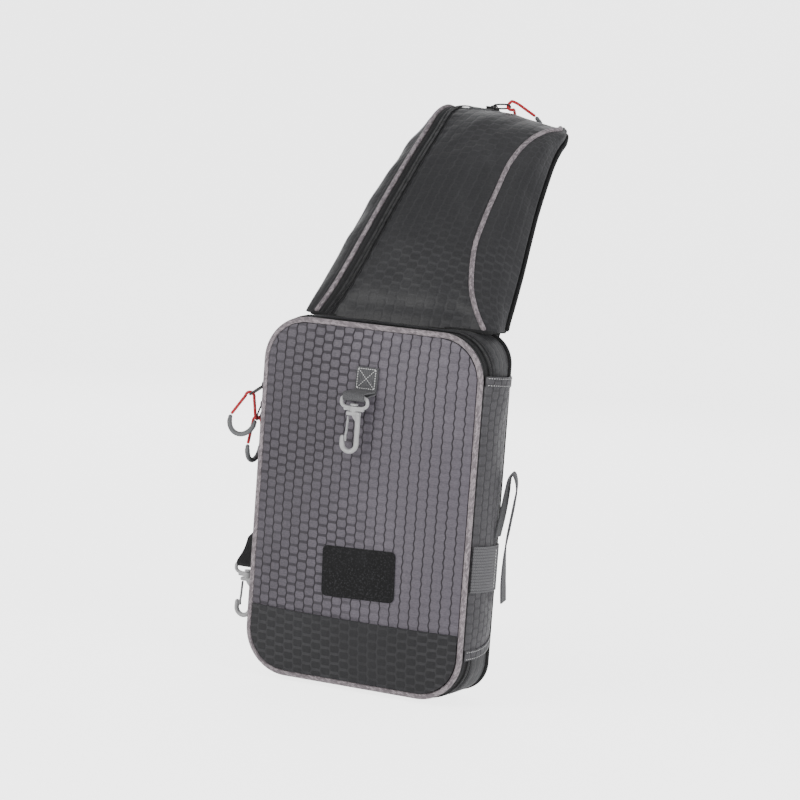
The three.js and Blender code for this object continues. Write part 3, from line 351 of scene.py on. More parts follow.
class Net:
    """Short calls for adding nodes to a tree. A value is a socket or a plain number."""

    def __init__(self, tree):
        self.tree = tree

    def node(self, kind, out=0, inputs=(), **settings):
        node = self.tree.nodes.new(kind)
        for key, value in settings.items():
            setattr(node, key, value)
        for key, value in dict(inputs).items():
            if isinstance(value, bpy.types.NodeSocket):
                self.tree.links.new(value, node.inputs[key])
            elif value is not None:
                node.inputs[key].default_value = value
        return node.outputs[out]

    def math(self, operation, a, b=None, c=None):
        return self.node("ShaderNodeMath", inputs={0: a, 1: b, 2: c}, operation=operation)

    def times(self, a, b, more=None):
        """a times b, with more added where it is given."""
        return self.math("MULTIPLY" if more is None else "MULTIPLY_ADD", a, b, more)

    def cloth(self):
        return self.node("ShaderNodeUVMap", uv_map="Cloth")

    def place(self):
        return self.node("ShaderNodeTexCoord", "Object")

    def step(self, value, low, high, start=0.0, end=1.0):
        inputs = {"Value": value, "From Min": low, "From Max": high, "To Min": start, "To Max": end}
        return self.node("ShaderNodeMapRange", inputs=inputs, interpolation_type="SMOOTHSTEP")

    def mix(self, share, a, b, blend="MIX"):
        node = self.tree.nodes.new("ShaderNodeMix")
        node.data_type = "RGBA"
        node.blend_type = blend
        for socket, value in ((node.inputs[0], share), (node.inputs[6], a), (node.inputs[7], b)):
            if isinstance(value, bpy.types.NodeSocket):
                self.tree.links.new(value, socket)
            else:
                socket.default_value = value
        return node.outputs[2]

    def noise(self, vector, scale, detail=2.0, rough=0.5, out=0):
        inputs = {"Vector": vector, "Scale": scale, "Detail": detail, "Roughness": rough}
        return self.node("ShaderNodeTexNoise", out, inputs)

    def stretched(self, vector, scale, angle=0.0):
        inputs = {"Vector": vector, "Scale": scale, "Rotation": (0, 0, angle)}
        return self.node("ShaderNodeMapping", inputs=inputs)

    def group(self, tree, inputs):
        node = self.tree.nodes.new("ShaderNodeGroup")
        node.node_tree = tree
        for key, value in inputs.items():
            if isinstance(value, bpy.types.NodeSocket):
                self.tree.links.new(value, node.inputs[key])
            else:
                node.inputs[key].default_value = value
        return node.outputs


def new_group(name, inputs, outputs):
    tree = bpy.data.node_groups.new(name, "ShaderNodeTree")
    for key, kind, value in inputs:
        socket = tree.interface.new_socket(name=key, in_out="INPUT", socket_type=kind)
        if value is not None:
            socket.default_value = value
    for key in outputs:
        tree.interface.new_socket(name=key, in_out="OUTPUT", socket_type=FLOAT)
    return tree, tree.nodes.new("NodeGroupInput").outputs, tree.nodes.new("NodeGroupOutput").inputs


def block_weave_group():
    """Columns of woven blocks, each column half a block up from the next, with wavy gaps between
    the columns and a few thin ribs between the blocks."""
    tree, given, made = new_group(
        "Block weave",
        [("UV", VECTOR, None), ("Width", FLOAT, 0.0092), ("Height", FLOAT, 0.0086), ("Gap", FLOAT, 0.098)],
        ["Gaps", "Ribs", "Tone", "Relief"],
    )
    n = Net(tree)
    x, y = (n.node("ShaderNodeSeparateXYZ", k, {0: given["UV"]}) for k in (0, 1))
    u = n.math("DIVIDE", x, given["Width"])
    v = n.math("DIVIDE", y, given["Height"])
    up = n.math("COSINE", n.times(v, 2 * math.pi))
    aside = n.math("COSINE", n.times(u, math.pi))
    u = n.times(n.times(up, aside), -0.045, u)
    column = n.math("FLOOR", u)
    in_column = n.math("FRACT", u)
    v = n.times(n.math("FLOORED_MODULO", column, 2.0), 0.5, v)
    row = n.math("FLOOR", v)
    in_row = n.math("FRACT", v)
    from_gap = n.math("MINIMUM", in_column, n.math("SUBTRACT", 1.0, in_column))
    from_rib = n.math("MINIMUM", in_row, n.math("SUBTRACT", 1.0, in_row))
    half = n.times(given["Gap"], 0.35)
    gaps = n.step(from_gap, half, given["Gap"], 1.0, 0.0)
    wave = n.math("COSINE", n.times(from_rib, 2 * math.pi / 0.105))
    between = n.step(from_rib, 0.10, 0.18, 1.0, 0.0)
    ribs = n.times(n.step(wave, -0.2, 0.95, 0.42, 1.0), between)
    place = n.node("ShaderNodeCombineXYZ", inputs={0: column, 1: row})
    tone = n.node("ShaderNodeTexWhiteNoise", 0, {"Vector": place}, noise_dimensions="2D")
    relief = n.times(n.step(from_gap, 0.0, 0.22), n.step(from_rib, 0.0, 0.2, 0.45, 1.0))
    for key, value in (("Gaps", gaps), ("Ribs", ribs), ("Tone", tone), ("Relief", relief)):
        tree.links.new(value, made[key])
    return tree


def thread_group():
    """Fine plain weave: rows of threads over and under, as a height from 0 to 1."""
    tree, given, made = new_group("Threads", [("UV", VECTOR, None), ("Pitch", FLOAT, 0.0006)], ["Height"])
    n = Net(tree)
    x, y = (n.node("ShaderNodeSeparateXYZ", k, {0: given["UV"]}) for k in (0, 1))
    a = n.math("SINE", n.math("DIVIDE", n.times(x, 2 * math.pi), given["Pitch"]))
    b = n.math("SINE", n.math("DIVIDE", n.times(y, 2 * math.pi), given["Pitch"]))
    height = n.times(n.times(a, b), 0.5, 0.5)
    tree.links.new(height, made["Height"])
    return tree


def webbing_group():
    """Woven webbing: slanted threads in narrow rows along the band, as a height and a dark share."""
    tree, given, made = new_group(
        "Webbing weave",
        [("UV", VECTOR, None), ("Row", FLOAT, 0.0013), ("Pick", FLOAT, 0.0011)],
        ["Height", "Dark"],
    )
    n = Net(tree)
    x, y = (n.node("ShaderNodeSeparateXYZ", k, {0: given["UV"]}) for k in (0, 1))
    rows = n.math("DIVIDE", x, given["Row"])
    flip = n.times(n.math("FLOORED_MODULO", n.math("FLOOR", rows), 2.0), 2.0, -1.0)
    across = n.math("SUBTRACT", n.math("FRACT", rows), 0.5)
    slant = n.times(n.times(across, flip), 0.9, n.math("DIVIDE", y, given["Pick"]))
    pick = n.times(n.math("COSINE", n.times(slant, 2 * math.pi)), 0.5, 0.5)
    rib = n.step(n.math("ABSOLUTE", across), 0.28, 0.5, 1.0, 0.0)
    height = n.times(rib, n.times(pick, 0.6, 0.4))
    dark = n.math("SUBTRACT", 1.0, height)
    tree.links.new(height, made["Height"])
    tree.links.new(dark, made["Dark"])
    return tree


BLOCKS, THREADS, WEAVE = block_weave_group(), thread_group(), webbing_group()


def shader(name, **constants):
    """A material with one Principled shader; constants go straight on the shader's own sockets."""
    material = bpy.data.materials.new(name)
    material.use_nodes = True
    tree = material.node_tree
    surface = next(node for node in tree.nodes if node.type == "BSDF_PRINCIPLED")
    for key, value in constants.items():
        surface.inputs[key.replace("_", " ")].default_value = value
    return material, Net(tree), surface


def connect(net, surface, colour, roughness, height, depth):
    links = net.tree.links
    if colour is not None:
        links.new(colour, surface.inputs["Base Color"])
    if isinstance(roughness, bpy.types.NodeSocket):
        links.new(roughness, surface.inputs["Roughness"])
    elif roughness is not None:
        surface.inputs["Roughness"].default_value = roughness
    if height is not None:
        inputs = {"Height": height, "Distance": depth, "Strength": 1.0}
        links.new(net.node("ShaderNodeBump", inputs=inputs), surface.inputs["Normal"])


def shade(colour, factor):
    return (*(c * factor for c in colour), 1.0)


def block_cloth(name, colour, line_and_sheen, gaps, ribs, depth=0.00035, gloss=(0.42, 0.62), spots=0.10,
                patchy=0.5, left=None, painted_side_light=(-1.0, 1.0, 1.0, 1.0)):
    """Coated cloth in the block weave. The line colour goes in the gaps and ribs: darker weave lines on the
    grey cloths, and on the black cloths a paler colour that is a painted sheen highlight. patchy is how much
    the ribs come and go over the surface, and left says where they fade out from left to right, to
    which share. The side light gives two places across and the cloth's brightness at each: a painted
    sheen highlight that makes the cloth lighter towards the right."""
    material, n, surface = shader(name, Sheen_Weight=0.04, Sheen_Roughness=0.45, Specular_IOR_Level=0.28)
    uv = n.cloth()
    place = n.place()
    blocks = n.group(BLOCKS, {"UV": uv})
    threads = n.group(THREADS, {"UV": uv})["Height"]
    broad = n.noise(place, 9.0, 3.0)
    fade = n.step(n.noise(place, 14.0, 2.0), 0.40, 0.62, 1.0 - patchy, 1.0)
    gap_share = n.times(blocks["Gaps"], gaps)
    x = n.node("ShaderNodeSeparateXYZ", 0, {0: uv})
    fleck = n.step(n.noise(n.stretched(uv, (0.45, 1.0, 1.0)), 900.0, 2.0, 0.7), 0.3, 0.7, 0.80, 1.16)
    fade = n.times(fade, n.step(x, left[0], left[1], 1.0, left[2])) if left else fade
    rib_share = n.times(n.times(blocks["Ribs"], ribs), fade)
    marked = n.math("MAXIMUM", gap_share, rib_share)
    tone = n.mix(blocks["Tone"], shade(colour, 1 - spots), shade(colour, 1 + spots))
    tone = n.mix(n.step(broad, 0.35, 0.65), shade(colour, 0.86), tone)
    # Painted sheen: the cloth is darker at the first place across and lighter at the second, times the fine
    # fleck.
    side_light_and_fleck = n.times(n.step(x, *painted_side_light), fleck)
    tone = n.node("ShaderNodeVectorMath", inputs={0: tone, 3: side_light_and_fleck}, operation="SCALE")
    # Threads, gaps and ribs take the line colour: darker weave lines on the grey cloths, a painted sheen
    # highlight on the black cloths.
    tone = n.mix(n.times(threads, 0.10), tone, shade(line_and_sheen, 1.0))
    mixed = n.mix(marked, tone, shade(line_and_sheen, 1.0))
    dull = n.step(marked, 0.0, 1.0, gloss[0] - 0.06, gloss[1])
    rough = n.times(n.noise(place, 60.0, 3.0), 0.12, dull)
    ground = n.math("SUBTRACT", blocks["Relief"], n.times(rib_share, 0.5))
    creases = n.noise(n.stretched(place, (1.0, 1.0, 0.6)), 34.0, 3.0, 0.55)
    height = n.times(creases, 1.4, ground)
    height = n.times(threads, 0.12, height)
    connect(n, surface, mixed, rough, height, depth)
    return material


def piping_cloth(name):
    """Mottled light and dark yarns braided round the cord."""
    material, n, surface = shader(name, Sheen_Weight=0.12, Sheen_Roughness=0.5, Specular_IOR_Level=0.3)
    uv = n.cloth()
    slanted = n.stretched(uv, (1.0, 0.62, 1.0), 0.7)
    weave = n.group(WEAVE, {"UV": slanted, "Row": 0.0013, "Pick": 0.0014})
    cell = n.node("ShaderNodeVectorMath", inputs={0: slanted, 1: (0.0013, 0.0018, 1.0)}, operation="SNAP")
    yarn = n.node("ShaderNodeTexWhiteNoise", 0, {"Vector": cell}, noise_dimensions="2D")
    light, dark = (0.36, 0.315, 0.335), (0.175, 0.150, 0.164)
    tone = n.mix(n.step(yarn, 0.15, 0.9), shade(dark, 1.0), shade(light, 1.0))
    tone = n.mix(n.times(weave["Dark"], 0.55), tone, shade(dark, 0.55))
    connect(n, surface, tone, 0.72, weave["Height"], 0.0003)
    return material


def webbing_cloth(name, colour, dark, row=0.0016, pick=0.0013, depth=0.00035):
    material, n, surface = shader(name, Sheen_Weight=0.08, Sheen_Roughness=0.5, Specular_IOR_Level=0.3)
    uv = n.cloth()
    place = n.place()
    weave = n.group(WEAVE, {"UV": uv, "Row": row, "Pick": pick})
    fuzz = n.noise(place, 900.0, 2.0)
    tone = n.mix(n.times(weave["Dark"], 0.75), shade(colour, 1.12), shade(dark, 1.0))
    tone = n.mix(n.step(fuzz, 0.35, 0.7, 0.0, 0.25), tone, shade(colour, 1.5))
    connect(n, surface, tone, 0.78, n.times(fuzz, 0.25, weave["Height"]), depth)
    return material


def plain_cloth(name, colour, pitch=0.0011, depth=0.0002, rough=0.7, slant=0.0):
    """Tape, binding and thread: a fine even weave with soft wear."""
    material, n, surface = shader(name, Sheen_Weight=0.05, Sheen_Roughness=0.5, Specular_IOR_Level=0.3)
    uv = n.cloth()
    place = n.place()
    weave = n.group(WEAVE, {"UV": n.stretched(uv, (1, 1, 1), slant), "Row": pitch, "Pick": pitch * 1.3})
    wear = n.noise(place, 40.0, 4.0)
    tone = n.mix(n.times(weave["Dark"], 0.5), shade(colour, 1.15), shade(colour, 0.45))
    tone = n.mix(n.step(wear, 0.4, 0.75, 0.0, 0.5), tone, shade(colour, 1.5))
    connect(n, surface, tone, n.times(wear, 0.1, rough - 0.05), weave["Height"], depth)
    return material


def mesh_cloth(name, colour):
    """Air mesh over foam: a net of small rounded holes."""
    material, n, surface = shader(name, Sheen_Weight=0.1, Sheen_Roughness=0.5, Specular_IOR_Level=0.3)
    uv = n.cloth()
    place = n.place()
    inputs = {"Vector": uv, "Scale": 330.0, "Randomness": 0.18}
    cells = n.node("ShaderNodeTexVoronoi", "Distance", inputs, feature="F1")
    hole = n.step(cells, 0.22, 0.42, 1.0, 0.0)
    soft = n.noise(place, 30.0, 3.0)
    tone = n.mix(hole, shade(colour, 1.2), shade(colour, 0.25))
    tone = n.mix(n.step(soft, 0.4, 0.8, 0.0, 0.35), tone, shade(colour, 1.6))
    connect(n, surface, tone, 0.82, n.math("SUBTRACT", 1.0, hole), 0.0005)
    return material


def moulded(name, colour, rough, grain=900.0, depth=0.00004, wear=0.5):
    """Moulded plastic or rubber: even colour, fine grain and edges rubbed a little paler."""
    material, n, surface = shader(name)
    place = n.place()
    point = n.node("ShaderNodeNewGeometry", "Pointiness")
    edge = n.step(point, 0.50, 0.58)
    scuff = n.noise(place, 220.0, 4.0, 0.6)
    fine = n.noise(place, grain, 3.0)
    rubbed = n.times(n.times(edge, wear), n.step(scuff, 0.3, 0.6))
    tone = n.mix(n.step(scuff, 0.35, 0.7), shade(colour, 0.94), shade(colour, 1.05))
    tone = n.mix(rubbed, tone, shade([min(1.0, c * 1.25 + 0.03) for c in colour], 1.0))
    dull = n.times(scuff, 0.16, rough - 0.08)
    connect(n, surface, tone, dull, fine, depth)
    return material


def braided(name, colour, dark):
    material, n, surface = shader(name, Sheen_Weight=0.3, Sheen_Roughness=0.4)
    uv = n.cloth()
    one = n.group(WEAVE, {"UV": n.stretched(uv, (1, 1, 1), 0.75), "Row": 0.0008, "Pick": 0.0009})
    two = n.group(WEAVE, {"UV": n.stretched(uv, (1, 1, 1), -0.75), "Row": 0.0008, "Pick": 0.0009})
    height = n.math("MAXIMUM", one["Height"], two["Height"])
    tone = n.mix(n.math("SUBTRACT", 1.0, height), shade(colour, 1.0), shade(dark, 1.0))
    connect(n, surface, tone, 0.55, height, 0.0002)
    return material


def patch_rubber(name, colour):
    """The bare patch: dull moulded rubber with a dense felt-like speckle."""
    material, n, surface = shader(name, Sheen_Weight=0.06, Sheen_Roughness=0.4, Specular_IOR_Level=0.25)
    place = n.place()
    speck = n.noise(place, 620.0, 4.0, 0.75)
    grain = n.noise(place, 700.0, 4.0, 0.6)
    broad = n.noise(place, 40.0, 2.0)
    tone = n.mix(n.step(speck, 0.50, 0.66, 0.0, 1.0), shade(colour, 0.6), shade(colour, 4.6))
    tone = n.mix(n.step(broad, 0.4, 0.7, 0.0, 0.4), tone, shade(colour, 1.6))
    connect(n, surface, tone, 0.8, n.math("ADD", grain, speck), 0.00022)
    return material


def enamelled(name, colour):
    material, n, surface = shader(name, Metallic=0.25, Coat_Weight=0.1, Coat_Roughness=0.4)
    place = n.place()
    edge = n.step(n.node("ShaderNodeNewGeometry", "Pointiness"), 0.51, 0.6)
    scuff = n.noise(place, 500.0, 4.0, 0.6)
    chipped = n.times(edge, n.step(scuff, 0.42, 0.6))
    tone = n.mix(chipped, shade(colour, 1.0), (0.5, 0.49, 0.48, 1.0))
    connect(n, surface, tone, n.times(scuff, 0.2, 0.42), scuff, 0.00003)
    return material


# The front panel's grey is painted lighter towards the right: a painted sheen highlight.
GREY_CLOTH = block_cloth("Grey block cloth", (0.108, 0.097, 0.116), (0.012, 0.010, 0.013), 0.95, 1.0,
                         patchy=0.35, left=(-0.02, 0.05, 0.25), painted_side_light=(-0.07, 0.05, 0.84, 1.12))
POCKET_CLOTH = block_cloth("Pocket block cloth", (0.056, 0.054, 0.059), (0.014, 0.013, 0.015), 0.8, 0.5)
# On the two black cloths the line colour is paler than the cloth: a painted sheen highlight on the weave
# lines.
BASE_CLOTH = block_cloth("Base block cloth", (0.014, 0.014, 0.0155), (0.050, 0.049, 0.053), 0.30, 0.85,
                         patchy=0.7)
BLACK_CLOTH = block_cloth("Black block cloth", (0.024, 0.024, 0.026), (0.055, 0.055, 0.058), 0.22, 0.5,
                          0.00018, (0.5, 0.62), patchy=0.95)
PIPING = piping_cloth("Mottled piping")
TAPE = plain_cloth("Zip tape", (0.010, 0.010, 0.011), rough=0.62)
BINDING = plain_cloth("Binding", (0.009, 0.009, 0.0098), 0.0009, 0.0002, 0.75, 0.8)
AIR_MESH = mesh_cloth("Air mesh", (0.012, 0.012, 0.013))
GREY_WEBBING = webbing_cloth("Grey webbing", (0.088, 0.088, 0.092), (0.016, 0.016, 0.018))
BAND_WEBBING = webbing_cloth("Band webbing", (0.100, 0.099, 0.104), (0.020, 0.020, 0.022), 0.0026, 0.0024)
BLACK_WEBBING = webbing_cloth("Black webbing", (0.013, 0.013, 0.014), (0.004, 0.004, 0.004), 0.0022, 0.0016)
PATCH_RUBBER = patch_rubber("Patch", (0.006, 0.006, 0.0066))
COIL_PLASTIC = moulded("Zip coil", (0.008, 0.008, 0.009), 0.38, wear=0.9)
GREY_PLASTIC = moulded("Grey plastic", (0.36, 0.36, 0.365), 0.42, wear=0.6)
BLACK_PLASTIC = moulded("Black plastic", (0.017, 0.017, 0.018), 0.36, wear=0.8)
GRIP_RUBBER = moulded("Grip rubber", (0.105, 0.108, 0.112), 0.6, 1400.0, 0.00008, 0.4)
METAL = enamelled("Enamelled metal", (0.016, 0.016, 0.017))
RED_CORD = braided("Red cord", (0.60, 0.012, 0.022), (0.20, 0.003, 0.006))
LIGHT_THREAD = plain_cloth("Light thread", (0.62, 0.62, 0.62), 0.0003, 0.00008, 0.6, 0.6)
DARK_THREAD = plain_cloth("Dark thread", (0.030, 0.030, 0.032), 0.0003, 0.00008, 0.55, 0.6)


# The bag's body

BAG_W, BAG_H, BAG_D = 205.0, 314.0, 60.0
FRONT_CORNER, BACK_CORNER, PUFF, CROWN = 38.0, 26.0, 2.5, 8.0
PIPING_D, BINDING_D, BASE_SEAM, BACK_PAD = 5.2, 4.4, 58.0, 6.0
PANEL_IN = PIPING_D / 2 + 0.3
FRONT_HALF, FRONT_LOW, FRONT_HIGH = BAG_W / 2 - PANEL_IN, PANEL_IN, BAG_H - PANEL_IN
ZIP_MIDDLE = (-53.2 - 37.2) / 2  # between the front and the back edge of the zip's tape
PATCH_X, PATCH_Z, PATCH_W, PATCH_H, PATCH_TURN = 5.3, 100.0, 69.5, 44.5, math.radians(2)
# Radius of the thin dark cords that paint the shadow in the seams beside the piping.
SEAM_SHADOW_R = 0.55


def puff_at(y):
    return PUFF * np.sin(math.pi * np.clip(-y / BAG_D, 0, 1))


# Shares of the way round for each stretch of the outline, from the bottom middle to the right.
ROUND = np.cumsum([0, 70.5, 50.3, 250, 50.3, 141, 50.3, 250, 50.3, 70.5])
ROUND = ROUND / ROUND[-1]
ROUND_LENGTH = 983.0


def outline(s, y, lift=0.0):
    """Points round the bag and the directions out of its skin, at depth y and a lift off the skin."""
    s = np.mod(np.asarray(s, dtype=float), 1.0)
    y = np.broadcast_to(np.asarray(y, dtype=float), s.shape)
    grow = puff_at(y) + lift
    x1, z0, z1 = BAG_W / 2 + grow, -grow, BAG_H + grow
    r = np.maximum(1.0, lerp(BACK_CORNER, FRONT_CORNER, np.clip(-y / BAG_D, 0, 1)) + grow)
    part = np.clip(np.searchsorted(ROUND, s, side="right") - 1, 0, 8)
    f = (s - ROUND[part]) / (ROUND[part + 1] - ROUND[part])
    zero = np.zeros_like(f)
    straight = [
        (f * (x1 - r), z0), None, (x1, lerp(z0 + r, z1 - r, f)), None, (lerp(x1 - r, r - x1, f), z1), None,
        (-x1, lerp(z1 - r, z0 + r, f)), None, (lerp(r - x1, zero, f), z0),
    ]
    corners = {1: (x1 - r, z0 + r, -90), 3: (x1 - r, z1 - r, 0), 5: (r - x1, z1 - r, 90),
               7: (r - x1, z0 + r, 180)}
    heading = {0: -90, 2: 0, 4: 90, 6: 180, 8: -90}
    x, z, angle = zero.copy(), zero.copy(), zero.copy()
    for k in range(9):
        here = part == k
        if k in corners:
            cx, cz, start = corners[k]
            angle[here] = np.radians(start + 90 * f)[here]
            x[here] = (cx + r * np.cos(angle))[here]
            z[here] = (cz + r * np.sin(angle))[here]
        else:
            a, b = (np.broadcast_to(part_of, f.shape) for part_of in straight[k])
            x[here], z[here], angle[here] = a[here], b[here], math.radians(heading[k])
    return np.stack([x, y, z], 1), np.stack([np.cos(angle), zero, np.sin(angle)], 1)


def reach_at(z):
    r = FRONT_CORNER - PANEL_IN
    over = np.maximum(0, np.maximum(z - (FRONT_HIGH - r), FRONT_LOW + r - z))
    return FRONT_HALF - r + np.sqrt(np.maximum(0, r * r - over * over))


def front_face(x, z):
    """Depth of the stuffed front cloth's outer face."""
    x, z = np.asarray(x, dtype=float), np.asarray(z, dtype=float)
    sideways = 1 - np.minimum(1, np.abs(x) / FRONT_HALF) ** 2.6
    middle = (FRONT_LOW + FRONT_HIGH) / 2
    upright = 1 - np.minimum(1, np.abs(z - middle) / (FRONT_HIGH - middle)) ** 5
    return -BAG_D - 0.6 - CROWN * sideways * upright


def edge_distance(x, z):
    """How far a point of the front lies inside its piping."""
    r = FRONT_CORNER - PANEL_IN
    qx = np.abs(x) - (FRONT_HALF - r)
    qz = np.abs(z - BAG_H / 2) - (BAG_H / 2 - PANEL_IN - r)
    outside = np.hypot(np.maximum(qx, 0), np.maximum(qz, 0)) + np.minimum(np.maximum(qx, qz), 0)
    return np.maximum(0, r - outside)


def front_skin(x, z):
    """The front with its seam puckers and soft creases."""
    y = front_face(x, z)
    inside = edge_distance(x, z)
    run = np.where(np.abs(x) > FRONT_HALF - 30, z, x)
    pucker = np.sin(run * 2 * math.pi / 11.0 + 2.2 * np.sin(run / 23.0))
    pucker = pucker * np.exp(-inside / 7.0) * eased(inside, 0, 2.5)
    soft = ripple(on_plane(x, z * 0.55), 62.0, 3)
    small = ripple(on_plane(x * 0.7, z), 21.0, 8)
    free = eased(inside, 3, 26)
    held = eased(np.hypot((x - PATCH_X) / 1.4, z - PATCH_Z), 20, 44)
    top = eased(z, 235, 300)
    return y - 0.30 * pucker - free * (0.55 * soft + (0.10 + 0.22 * top) * small * held)


def front_piece(name, low, high, rows, material, slot, node, lift=0.0):
    def at(s, t):
        z = lerp(low, high, t)
        x = lerp(-1, 1, s) * reach_at(z)
        edge = np.exp(-((z - BASE_SEAM) / 1.6) ** 2)
        turned_in = 0.5 * edge if lift == 0 else -0.5 * edge * lift
        return np.stack([x, front_skin(x, z) - lift + turned_in, z], 1)

    def flat(s, t):
        z = lerp(low, high, t)
        return lerp(-1, 1, s) * reach_at(z), z

    obj = cloth_sheet(name, 110, rows, at, flat, offset=1.0)
    return dressed(obj, material, slot, node)


def belt_piece(name, profile, material, slot, node, across, thick, rough=0.25):
    """A closed belt of cloth. profile gives (depth, lift) of its section at shares 0 to 1."""
    stops, (depths, lifts) = np.linspace(0, 1, len(profile)), np.transpose(profile)

    def at(s, t):
        points, out = outline(np.mod(t, 1.0), np.interp(s, stops, depths), np.interp(s, stops, lifts))
        wave = ripple(points, 26.0, 12) * rough * np.sin(math.pi * s)
        return points + out * wave[:, None]

    def flat(s, t):
        return np.interp(s, stops, depths), t * ROUND_LENGTH

    obj = cloth_sheet(name, across, 420, at, flat, thick, weld=True)
    return dressed(obj, material, slot, node)


def outline_path(y, lift):
    return outline(np.linspace(0.0, 1.0, 300, endpoint=False), y, lift)


def ring_cord(name, y, lift, radius, around, count):
    """A closed cord once round the bag."""
    return rod(name, outline_path(y, lift)[0][:-1], radius, around, count, closed=True, caps=False)


def make_body():
    front_piece("front_panel_cloth", BASE_SEAM - 1.5, FRONT_HIGH, 150, GREY_CLOTH, "grey_cloth",
                "front_panel")
    front_piece("base_panel_cloth", FRONT_LOW, BASE_SEAM + 0.2, 44, BASE_CLOTH, "black_cloth",
                "base_panel", 0.75)
    xs = np.linspace(-94, 94, 90)
    zs = np.full_like(xs, BASE_SEAM - 2.6)
    run = np.stack([xs, front_skin(xs, zs) - 0.85, zs], 1)
    stitches("base_seam_stitches", [(run, (0, -1, 0))], DARK_THREAD, "black_cloth")

    piping = ring_cord("front_piping_cord", -BAG_D, 0.0, PIPING_D / 2 - 0.05, 14, 900)
    dressed(piping, PIPING, "melange_piping", "front_piping")
    # Two thin dark cords either side of the front piping are painted shade: they stand in for the shadow in
    # the seam's ditch.
    for name, lift, depth in (("front_seam_shadow_inner", -2.9, -60.4), ("front_seam_shadow_outer", 1.2, -57.4)):
        dressed(ring_cord(name, depth, lift, SEAM_SHADOW_R, 6, 500), TAPE, "zip_tape")

    band = [(-57.1, -0.9), (-56.6, -0.1), (-55.9, 0.25), (-54.7, 0.25), (-54.0, 0.1), (-53.5, -0.7)]
    belt_piece("front_band_cloth", band, BLACK_CLOTH, "black_cloth", "front_band", 10, 1.1)
    tape = [(-53.2, -0.9), (-52.6, 0.1), (-51.8, 0.35), (-50.8, 0.3), (-50.3, -0.45), (-48.6, -0.55),
            (-45.2, -0.6), (-41.8, -0.55), (-40.1, -0.45), (-39.6, 0.3), (-38.6, 0.35), (-37.8, 0.1),
            (-37.2, -0.9)]
    belt_piece("zip_tape_cloth", tape, TAPE, "zip_tape", "zip_tape", 36, 0.8, 0.1)
    gusset = [(-36.9, -0.8), (-36.3, 0.0), (-34.6, 0.2), (-26.0, 0.3), (-18.0, 0.3), (-10.0, 0.2),
              (-3.6, 0.1), (-2.5, -0.7)]
    belt_piece("gusset_cloth", gusset, BLACK_CLOTH, "black_cloth", "main_gusset", 26, 1.2, 0.5)
    binding = ring_cord("back_binding_tape", 0.0, 0.0, BINDING_D / 2 - 0.02, 10, 700)
    dressed(binding, BINDING, "zip_tape", "back_binding")
    almost_round = np.linspace(0.0, 0.999, 380)
    runs = [outline(almost_round, depth, lift)
            for depth, lift in ((-51.2, 0.42), (-39.2, 0.42), (-34.4, 0.45), (-4.6, 0.4))]
    stitches("gusset_stitches", runs, DARK_THREAD, "black_cloth", wide=0.42)
    make_back()
    make_main_coil()


def make_back():
    """The padded back: a soft plateau with a sewn border and two sewn channels for air."""
    edge = BINDING_D / 2 + 0.3

    def at(s, t):
        points, _ = outline(s, np.zeros_like(s), -edge)
        middle = BAG_H / 2
        inset = t * 94.0
        share = np.minimum(1.0, inset / 22.0)
        x, z = points[:, 0] * (1 - t), middle + (points[:, 2] - middle) * (1 - t)
        level = lerp(0.6, BACK_PAD - 0.1, np.sin(share * math.pi / 2))
        channel = np.exp(-((np.abs(x) - 30.0) / 4.5) ** 2) * eased(105.0 - np.abs(z - middle), 0, 16)
        border = np.exp(-((inset - 19.0) / 2.2) ** 2)
        soft = ripple(on_plane(x, z), 34.0, 21)
        y = level - 2.2 * channel - 0.9 * border + 0.22 * soft * share
        return np.stack([x, y, z], 1)

    def flat(s, t):
        p = at(s, t)
        return p[:, 0], p[:, 2]

    back = laid("back_panel_pad", 260, 60, at, flat)
    welded(back, 0.0002)
    applied(back, "SOLIDIFY", thickness=0.0012, offset=-1.0)
    smooth(back)
    dressed(back, AIR_MESH, "black_cloth", "back_panel")


def coil_along(name, path, out, half, height, node):
    """Teeth in two rows along a path, each row half a pitch from the other."""
    pitch = 1.15
    count = max(4, int(curve_length(path) / pitch))
    even, _ = curve_through(path, count)
    outs, _ = curve_through(out, count)
    ahead = np.gradient(even, axis=0)
    places = []
    for k in range(count):
        x = unit(ahead[k])
        z = unit(outs[k] - x * x.dot(outs[k]))
        y = np.cross(z, x)
        for side in (-1, 1):
            at = even[k] + x * (0.25 * pitch * side) + y * side * half * 0.5 + z * height * 0.5
            places.append(posed(x * pitch * 0.72 / 1000, y * half * 1.12 / 1000, z * height / 1000, at))
    return dressed(copies(name, bead(8), places), COIL_PLASTIC, "zip_coil", node)


def make_main_coil():
    """From the left end of the bottom, over the top, to its right end."""
    start = 62.0 / ROUND_LENGTH
    path, out = outline(np.linspace(start, 1 - start, 500), ZIP_MIDDLE, 0.15)
    coil_along("main_coil", path, out, 2.35, 1.35, "zip_coil")


# Patch, tabs and snap hooks

WEB_T = 1.5


